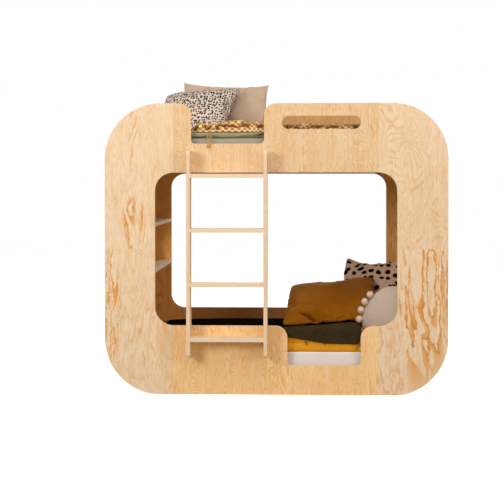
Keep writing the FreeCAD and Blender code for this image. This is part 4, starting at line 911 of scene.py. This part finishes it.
def upper_quilt_row(x):
    """Folded quilt: two soft layers with a dark line between them."""
    low, high, tall = FRONT_HEM, BACK_HEM, UPPER_QUILT["tall"]
    end = round_end((UPPER_QUILT["reach"] - abs(x)) / 20)
    gap = 6.5 + 5.5 * rumple(x, 0, 0, 110, 71) + 25 * math.exp(-((x + 50) / 58) ** 2)
    row = [(x, low + 16, 0), (x, low + 13, gap * 0.6), (x, low + 7, gap)]
    for k in range(1, 15):
        part = k / 15
        level = gap + part * (tall - gap)
        swell = BULGE * math.sin(math.pi * part) ** 0.5
        wave = 7 * abs(rumple(x, 0, level * 0.8, 90, 71)) + 1.5 * rumple(x, 0, level, 30, 75)
        row.append((x, low - max(0.0, swell - wave), level))
    for k in range(1, 40):
        y = low + (high - low) * k / 40
        soft = min(1.0, (y - low) / 50, (high - y) / 50)
        row.append((x, y, tall - soft * (3.2 + 3.2 * rumple(x, y, 0, 120, 81))))
    for layer in (1, 0):
        for k in range(7):
            row.append((x, high + BULGE * math.sin(math.pi * k / 6) ** 0.5,
                        (layer + 1 - k / 6) * tall / 2))
    row += [(x, high + (low - high) * k / 12, 0) for k in range(1, 12)]
    mid = tall / 2
    return [(px, py, UPPER_BED + mid + (pz - mid) * (0.5 + 0.5 * end)) for px, py, pz in row]


reach = UPPER_QUILT["reach"]
upper_quilt = closed_mesh("quilt_upper", [upper_quilt_row(x) for x in even(-reach, reach, 11)])
finished(upper_quilt, fabric("sage_cotton", linear(160, 153, 113), mottled=0.14, thread=1.2),
         "sage_cloth", "upper_quilt")


# Checked throw, bunched along the front of the upper bunk, and its tassel

THROW = {"left": -478, "right": 560, "front": -352, "hem": 4, "tall": 72, "deep": 472,
         "crest": 0.34}
THROW_BED = UPPER_BED + 33.9
THROW_STEPS = 90
CREST_PART = 0.42
HEAP_SHARES = [(0, 0, 0.16), (0.02, 0.76, 0.19), (0.14, 0.84, 0.22), (0.185, 0.92, 0.24),
               (0.282, 1, 0.30), (0.308, 0.90, 0.40), (0.335, 1, 0.50), (0.383, 0.84, 0.80),
               (0.44, 0.78, 0.95), (0.488, 0.83, 1), (0.70, 0.80, 1), (0.937, 0.84, 0.90),
               (0.985, 0.45, 0.80), (1, 0, 0.70)]


def throw_row(x):
    """Rumpled section of the bunched throw, from its front foot over the crest to the back."""
    share = (x - THROW["left"]) / (THROW["right"] - THROW["left"])
    height = THROW["hem"] + (THROW["tall"] - THROW["hem"]) * eased(HEAP_SHARES, share, 1, 0.008)
    depth = THROW["deep"] * eased(HEAP_SHARES, share, 2, 0.008)
    front = THROW["front"] + 3
    crest = front + depth * THROW["crest"]
    row, sunk = [], []
    for k in range(THROW_STEPS + 1):
        part = k / THROW_STEPS
        if part < CREST_PART:
            angle = math.pi / 2 * part / CREST_PART
            y = crest - (crest - front) * math.cos(angle)
            z = height * math.sin(angle) ** 0.85
            normal = (-math.cos(angle), math.sin(angle))
            lowest = -27 + 18 * math.sin(angle) ** 3
        else:
            angle = math.pi / 2 * (part - CREST_PART) / (1 - CREST_PART)
            y = crest + (front + depth - crest) * math.sin(angle)
            z = height * math.cos(angle)
            normal = (math.sin(angle) * 0.5, math.cos(angle))
            lowest = -27 - 9 * math.sin(angle) + 18 * math.cos(angle)
        fade = min(1.0, part / 0.08, (1 - part) / 0.08)
        big = abs(rumple(x * 1.45, y * 0.8, z * 1.6, 72, 91)) ** 0.6
        cross = abs(rumple(x * 0.8 + z, y, z * 1.5, 46, 93)) ** 0.6
        small = rumple(x, y, z, 18, 95)
        lump = (40 * big + 18 * cross + 2 * small - 37) * fade * min(1.0, height / 40)
        lump = max(min(lump, 5.0), lowest)
        # Painted shade in the hollows between lumps.
        sunk.append(bounded((-lump - 7) / 11))
        row.append((x, max(y + normal[0] * lump, THROW["front"]),
                    THROW_BED + max(2.0, z + normal[1] * lump)))
    return row, sunk


OCHRE = linear(188, 118, 20)
CREAM = linear(246, 218, 172)
rows, sunk = zip(*[throw_row(x) for x in even(THROW["left"], THROW["right"], 5)])
throw = grid_mesh("throw_checked", rows, hollows=sunk)
modify(throw, "SOLIDIFY", thickness=1.8 * MM, offset=0.0)
smooth(throw.data)
# Its lumps' hollows get painted shade in a dark ochre.
finished(throw, fabric("checked_cotton", CREAM, pattern=checks(CREAM, OCHRE, 19), thread=1.4,
                       mottled=0.12, relief=0.5, sheen=0.0, shine=0.0,
                       hollow=linear(112, 60, 12)), "checked_cloth", "upper_throw")


def yarn_tube(points, radius, turns, sides=8):
    """Two-ply yarn along points in millimetres: a tube with a twisted waist."""
    rows = []
    travelled = 0.0
    for index, point in enumerate(points):
        before, after = points[max(index - 1, 0)], points[min(index + 1, len(points) - 1)]
        ahead = (Vector(after) - Vector(before)).normalized()
        side = ahead.cross(Vector((1, 0, 0)))
        side = side.normalized() if side.length > 0.1 else Vector((0, 0, 1))
        other = ahead.cross(side)
        if index:
            travelled += math.dist(points[index - 1], point)
        row = []
        for k in range(sides):
            angle = 2 * math.pi * k / sides
            wide = radius * (0.78 + 0.22 * math.cos(2 * (angle - travelled * turns)))
            row.append(tuple(Vector(point)
                             + (side * math.cos(angle) + other * math.sin(angle)) * wide))
        rows.append(row)
    return rows


def strand_points(x, sway):
    """Way of a strand: out from under the throw, over the rail's notch and down its face."""
    knots = [(x, -352, 1476), (x, -362, 1462), (x + sway * 0.3, -372, 1430),
             (x + sway * 0.5, -380, 1412), (x + sway * 0.6, -390, 1409.2),
             (x + sway * 0.8, -395.3, 1404), (x + sway, -395.3, 1381)]
    mesh = curve_mesh([knots], "NURBS", {"dimensions": "3D", "resolution_u": 10},
                      {"order_u": 3, "use_endpoint_u": True})
    points = [tuple(v.co) for v in mesh.vertices]
    bpy.data.meshes.remove(mesh)
    return points


def joined_pieces(name, pieces):
    """One object in the place of several."""
    build = bmesh.new()
    for piece in pieces:
        mesh = piece.data
        build.from_mesh(mesh)
        bpy.data.objects.remove(piece)
        bpy.data.meshes.remove(mesh)
    return built_piece(name, build)


tassel = joined_pieces("tassel_strands", [
    closed_mesh(f"strand_{index}", yarn_tube(strand_points(x, (1 - index) * 2.0), 2.9, 0.45))
    for index, x in enumerate((-384, -373, -362))])
finished(tassel, fabric("ochre_twist", linear(214, 158, 80), thread=0.8, flat=False, shine=0.05),
         "ochre_yarn", "throw_tassels")


# Pillows and cushions: flat cases blown up as cloth, then laid where the bed holds them

# fit is told in fitted()
CASES = {
    "plain": {"size": (556, 353, 112), "place": (-334, 379.5, 1645), "turn": (0.5, 19.8, 1.5),
              "fit": dict(sag=(20, 26, 10, 30), horn=4, corners=((0, 0), (0, 0), (2, 6), (6, 2)),
                          folds=(((120, 60), (262, 150), 15, 5), ((-262, 140), (-170, 60), 13, 4),
                                 ((150, -120), (240, -20), 18, 4)))},
    "dotted": {"size": (468, 421, 120), "place": (-462, 163.8, 1608), "turn": (-9, 55, -5),
               "fit": dict(sag=(6, 26, 8, -36), horn=2.2, dip=-0.45,
                           corners=((0, 0), (-62, 0), (-14, -16, -13), (-4, 26, -13)),
                           folds=(((-120, -60), (-10, 40), 16, 5),
                                  ((20, 30), (110, 150), 14, 4)))},
    "velvet": {"size": (515, 448, 125), "place": (320, 84.2, 479.1), "turn": (-9, 62, -9),
               "fit": dict(sag=(6, 10, 4, -6), horn=3,
                           corners=((-40, 0), (0, 0), (16, -30), (22, 0)),
                           folds=(((-190, -150), (-80, -222), 12, 16),
                                  ((-160, -125), (-50, -190), 16, -6),
                                  ((60, -200), (130, -60), 24, 4)))},
    "spotted": {"size": (405, 405, 110), "place": (582, 310, 534.5), "turn": (-25, 22, -1.5),
                "fit": dict(sag=(16, 18, 10, 62), horn=1.5, dip=-0.1,
                            corners=((0, 0), (0, 0), (-4, 10), (0, 0)), blunt=0.09)}}
CELL = 10
CASE_SPARE = 1.04
CASE_LIFT = 7.0
BACK_SHIFT = 2.0
CLOTH_FRAMES = 22
CLOTH = {"quality": 6, "mass": 0.25, "tension_stiffness": 30, "compression_stiffness": 30,
         "shear_stiffness": 12, "bending_stiffness": 0.6, "tension_damping": 12,
         "compression_damping": 12, "air_damping": 2, "use_pressure": True,
         "uniform_pressure_force": 5.0}


def pillow_case(name, width, tall):
    """Two flat sheets joined at their edges, a little apart, with flat UVs."""
    columns, rows = round(width / CELL), round(tall / CELL)
    points, faces, uvs, index = [], [], [], {}

    def key(i, j, side):
        return i, j, 0 if i in (0, columns) or j in (0, rows) else side

    for side in (1, -1):
        for j in range(rows + 1):
            for i in range(columns + 1):
                spot = key(i, j, side)
                if spot in index:
                    continue
                index[spot] = len(points)
                u, v = 2 * i / columns - 1, 2 * j / rows - 1
                lift = 0.0
                if spot[2]:
                    lift = (CASE_LIFT * (1 - u * u) ** 0.5 * (1 - v * v) ** 0.5
                            + 0.8 * rumple(i, j, side, 3.1, 7))
                points.append((u * width / 2 * MM, -side * lift * MM, v * tall / 2 * MM))
        shift = BACK_SHIFT if side < 0 else 0.0
        for j in range(rows):
            for i in range(columns):
                corners = ((i, j), (i + 1, j), (i + 1, j + 1), (i, j + 1))[::side]
                faces.append([index[key(*corner, side)] for corner in corners])
                uvs += [(ci * width / columns * MM + shift, cj * tall / rows * MM)
                        for ci, cj in corners]
    return mesh_piece(name, points, faces, uvs)


def blown(pieces):
    """Blow the cases up together as cloth without gravity, and keep the result."""
    for piece in pieces:
        cloth = piece.modifiers.new("cloth", "CLOTH")
        settle(cloth.settings, CLOTH)
        cloth.settings.effector_weights.gravity = 0
        cloth.collision_settings.use_collision = False
        cloth.collision_settings.use_self_collision = False
        cloth.point_cache.frame_end = CLOTH_FRAMES
    for step in range(1, CLOTH_FRAMES + 1):
        scene.frame_set(step)
    for piece, mesh in [(piece, evaluated(piece)) for piece in pieces]:
        swap_mesh(piece, mesh)
    scene.frame_set(1)


def read_points(piece):
    spots = np.empty(len(piece.data.vertices) * 3)
    piece.data.vertices.foreach_get("co", spots)
    return spots.reshape(-1, 3)


def fitted(piece, flat, size, sag, horn, corners, dip=0.0, folds=(), blunt=0.04):
    """Fit a blown case to its size, with its edges drawn in by so much between its corners.

    flat holds the case's points before it was blown up. sag is the draw of the left, right, lower
    and upper edge in millimetres, and horn how near to the corners it starts. corners move the
    lower left, lower right, upper left and upper right corner across, up and back. dip moves the
    low place of the upper edge to one side. folds are creases in the front: start, end, half
    width and depth. blunt draws the corners in.
    """
    full = np.array(size)[[0, 2, 1]] * MM
    spots = read_points(piece)
    low, high = spots.min(0), spots.max(0)
    spots = (spots - (low + high) / 2) * (full / (high - low))
    share = flat / np.maximum(np.abs(flat).max(0), 1e-6)
    for axis, other, near_edge, far_edge in ((0, 2, 0, 1), (2, 0, 2, 3)):
        for sign, draw in ((-1, sag[near_edge]), (1, sag[far_edge])):
            on_edge = np.abs(share[:, axis] - sign) < 1e-4
            order = np.argsort(share[on_edge, other])
            there = np.interp(share[:, other], share[on_edge, other][order],
                              spots[on_edge, axis][order])
            aside = share[:, other]
            if axis == 2 and sign > 0:
                aside = aside - dip * (1 - aside ** 2)
            wanted = sign * (full[axis] / 2 - draw * MM * (1 - np.abs(aside) ** horn))
            side = np.sign(share[:, axis]) == sign
            change = (wanted - there) * np.abs(share[:, axis]) ** 1.5
            spots[side, axis] += change[side]
    spots *= (1 - blunt * np.abs(share[:, 0] * share[:, 2]) ** 7)[:, None]
    right, upper = [(share[:, axis] + 1) / 2 for axis in (0, 2)]
    weights = ((1 - right) * (1 - upper), right * (1 - upper), (1 - right) * upper, right * upper)
    for weight, shift in zip(weights, corners):
        for axis, part in zip((0, 2, 1), shift):
            spots[:, axis] += weight * part * MM
    sunk = np.zeros(len(spots))
    for start, end, wide, depth in folds:
        way = np.array(end, float) - start
        long = np.linalg.norm(way)
        off = spots[:, (0, 2)] / MM - start
        along = off @ way / long ** 2
        far = np.abs(off @ np.array((-way[1], way[0]))) / long
        fade = np.clip(np.minimum(along, 1 - along) * 4 + 0.5, 0, 1)
        front = spots[:, 1] < 0
        groove = fade * np.exp(-(far / wide) ** 2)
        spots[front, 1] += (depth * MM * groove)[front]
        # Creases pressed in get painted shade by their depth.
        if depth > 0:
            sunk[front] = np.maximum(sunk, groove * min(1.0, depth / 16))[front]
    set_painted_shade(piece, sunk)
    piece.data.vertices.foreach_set("co", spots.ravel())


def laid(place, turn):
    """Place in millimetres and turn (yaw, lean, roll in degrees) of a pillow or cushion."""
    yaw, lean, roll = [math.radians(angle) for angle in turn]
    return (Matrix.Translation(Vector(place) * MM) @ Matrix.Rotation(yaw, 4, "Z")
            @ Matrix.Rotation(-lean, 4, "X") @ Matrix.Rotation(roll, 4, "Y"))


cases = {}
for name, case in CASES.items():
    wide, tall, thick = case["size"]
    cases[name] = pillow_case(f"pillow_{name}", wide * CASE_SPARE, tall * CASE_SPARE)
flat_points = {name: read_points(piece) for name, piece in cases.items()}
blown(list(cases.values()))

DOTS = spotted(linear(232, 212, 194), linear(5, 4, 4), 15.5, 0.335, 0.75)
SPOTS = spotted(linear(236, 202, 172), linear(12, 8, 7), 52, 0.295, 1.25, small=0.06)
CASE_LOOKS = {
    "plain": (fabric("beige_linen", linear(206, 177, 151), thread=1.3, mottled=0.08),
              "beige_cloth", "upper_plain_pillow"),
    "dotted": (fabric("dotted_cotton", linear(226, 208, 190), pattern=DOTS, mottled=0.06,
                      sheen=0.0, shine=0.0), "dotted_cloth", "upper_dotted_pillow"),
    # The velvet's creases get painted shade in a deep brown.
    "velvet": (fabric("mustard_velvet", linear(158, 93, 10), thread=0.8, mottled=0.16, sheen=0.4,
                      shine=0.05, hollow=linear(70, 34, 2), sheen_tint=(1.0, 0.66, 0.25, 1)),
               "mustard_velvet", "lower_velvet_cushion"),
    "spotted": (fabric("spotted_cotton", linear(196, 168, 134), pattern=SPOTS, mottled=0.08,
                       sheen=0.0, shine=0.0), "spotted_cloth", "lower_spotted_cushion")}
for name, case in CASES.items():
    piece = cases[name]
    fitted(piece, flat_points[name], case["size"], **case["fit"])
    piece.data.transform(laid(case["place"], case["turn"]))
    modify(piece, "SUBSURF", levels=1, render_levels=1)
    smooth(piece.data)
    finished(piece, *CASE_LOOKS[name])


# Round cushion and its pompoms

ROUND = {"radius": 178, "thick": 112, "place": (643, -254, 416.5), "turn": (-30, 4, 0)}
DISC_SHARES = [0.02, 0.1, 0.2, 0.3, 0.4, 0.5, 0.6, 0.68, 0.75, 0.81, 0.86, 0.90, 0.93, 0.955,
               0.975, 0.99]
SPOKES = 120


def slump(angle):
    """Share of the radius at an angle: the cushion is pushed in beside the big one."""
    inward, upward = [max(0.0, math.cos(angle - math.radians(way))) ** 3 for way in (140, 65)]
    return 1 - 0.10 * inward + 0.06 * upward


def disc_row(part, side):
    """Ring of the round cushion at a share of its radius."""
    row = []
    for k in range(SPOKES):
        angle = 2 * math.pi * k / SPOKES
        crown = max(0.0, 1 - part ** 2.4) ** 0.62
        gather = 1.4 * math.sin(26 * angle + 3 * rumple(k, 0, 0, 9)) * (part ** 5) * (1 - part) * 9
        height = ROUND["thick"] / 2 * crown + gather
        wide = ROUND["radius"] * part * slump(angle)
        row.append((wide * math.cos(angle), -side * max(height, 0.0), wide * math.sin(angle)))
    return row


round_place = laid(ROUND["place"], ROUND["turn"])
disc = closed_mesh("cushion_round", [disc_row(share, 1) for share in DISC_SHARES + [1.0]]
                   + [disc_row(share, -1) for share in reversed(DISC_SHARES)])
disc.data.transform(round_place)
finished(disc, fabric("pale_cotton", linear(204, 183, 166), thread=1.1, mottled=0.06, flat=False,
                      slub=0.99), "pale_cloth", "lower_round_cushion")

POMPOM = {"radius": 22, "count": 20, "turn": 0.7}
# Places round the rim, with the distance from the cushion's middle and from its seam to the back
POMPOM_SEATS = {14: (185, -24), 15: (185, -24), 16: (186, -25), 17: (187, -26),
                18: (156, 54.3), 19: (156, 53.7), 0: (156, 53.7), 1: (156, 54.3),
                2: (194.6, -16.6), 7: (194.6, -16.6)}


def pompom(name, centre, seed):
    """Ball of cut yarn: a sphere with many short blunt tufts."""
    build = bmesh.new()
    bmesh.ops.create_icosphere(build, subdivisions=4, radius=1.0)
    for vertex in build.verts:
        way = vertex.co.normalized()
        tuft = noise.noise(way * 7.0 + Vector((seed, 0, 0)))
        clump = noise.noise(way * 2.6 + Vector((0, seed, 0)))
        reach = (0.93 + 0.10 * tuft + 0.06 * clump) * POMPOM["radius"]
        vertex.co = (way * reach + centre) * MM
    return built_piece(name, build)


balls = []
for index, (reach, behind) in POMPOM_SEATS.items():
    angle = math.radians(360 * (index + POMPOM["turn"]) / POMPOM["count"])
    reach *= slump(math.pi / 2 - angle)
    seat = Vector((reach * math.sin(angle), behind, reach * math.cos(angle)))
    balls.append(pompom(f"pompom_{index}", Vector(ROUND["place"]) + round_place.to_3x3() @ seat,
                        3.7 * index))
pompoms = joined_pieces("pompoms", balls)
finished(pompoms, fabric("pale_yarn", linear(232, 202, 176), thread=2.2, mottled=0.12, relief=0.9,
                         sheen=0.5, flat=False), "pale_yarn", "cushion_pompoms")


# Looks of the pieces that are kept from the frame: wood, metal and webbing

def steel(name):
    """Zinc plated steel with fine turning marks."""
    g = surface(name)
    marks = g.noise(g.scaled(g.place(), (900, 900, 60)), 1.0, 2, 0.6)
    blotches = g.noise(g.place(), 60, 3)
    return g.finish(colour=g.mix(blotches, linear(176, 178, 180), linear(206, 207, 208)),
                    metallic=1.0, roughness=g.ramp(marks, (0.3, 0.26), (0.7, 0.40)),
                    normal=g.bump(marks, 0.15, 0.0003))


STEEL = steel("zinc_steel")
PINE_Y = wood("pine_cross", grain="y", thick="z", seed=109)
# By a part of the name; the first that fits counts
NODE_LOOKS = {
    "_end_panel": wood("veneer_ends", thick="x", seed=71, layer_start=-0.822, bands=26, late=0.3,
                       broken=0.4),
    "_shelf": wood("veneer_shelves", grain="y", thick="z", seed=83),
    "tread_": wood("veneer_treads", grain="x", thick="z", seed=91, edge=linear(246, 226, 198),
                   pale=linear(244, 222, 192), straw=linear(238, 206, 164), fleck=0.15,
                   cloud=0.15),
    "ladder_rail": wood("veneer_ladder", thick="x", seed=97, layer_start=-0.4935,
                        edge=linear(243, 218, 186)),
    "end_cam": STEEL, "_screws": STEEL, "_bolts": STEEL, "end_batten": PINE_Y, "_slats": PINE_Y,
    "_batten": wood("pine_long", grain="x", thick="y", seed=103),
    "_tapes": fabric("slat_tape", linear(226, 220, 206), thread=2.0, mottled=0.06, flat=False),
    "_tongues": wood("tongue_ply", seed=127)}
for name, thing in NODES.items():
    fitting = [material for part, material in NODE_LOOKS.items() if part in name]
    if fitting:
        thing.data.materials.clear()
        thing.data.materials.append(fitting[0])
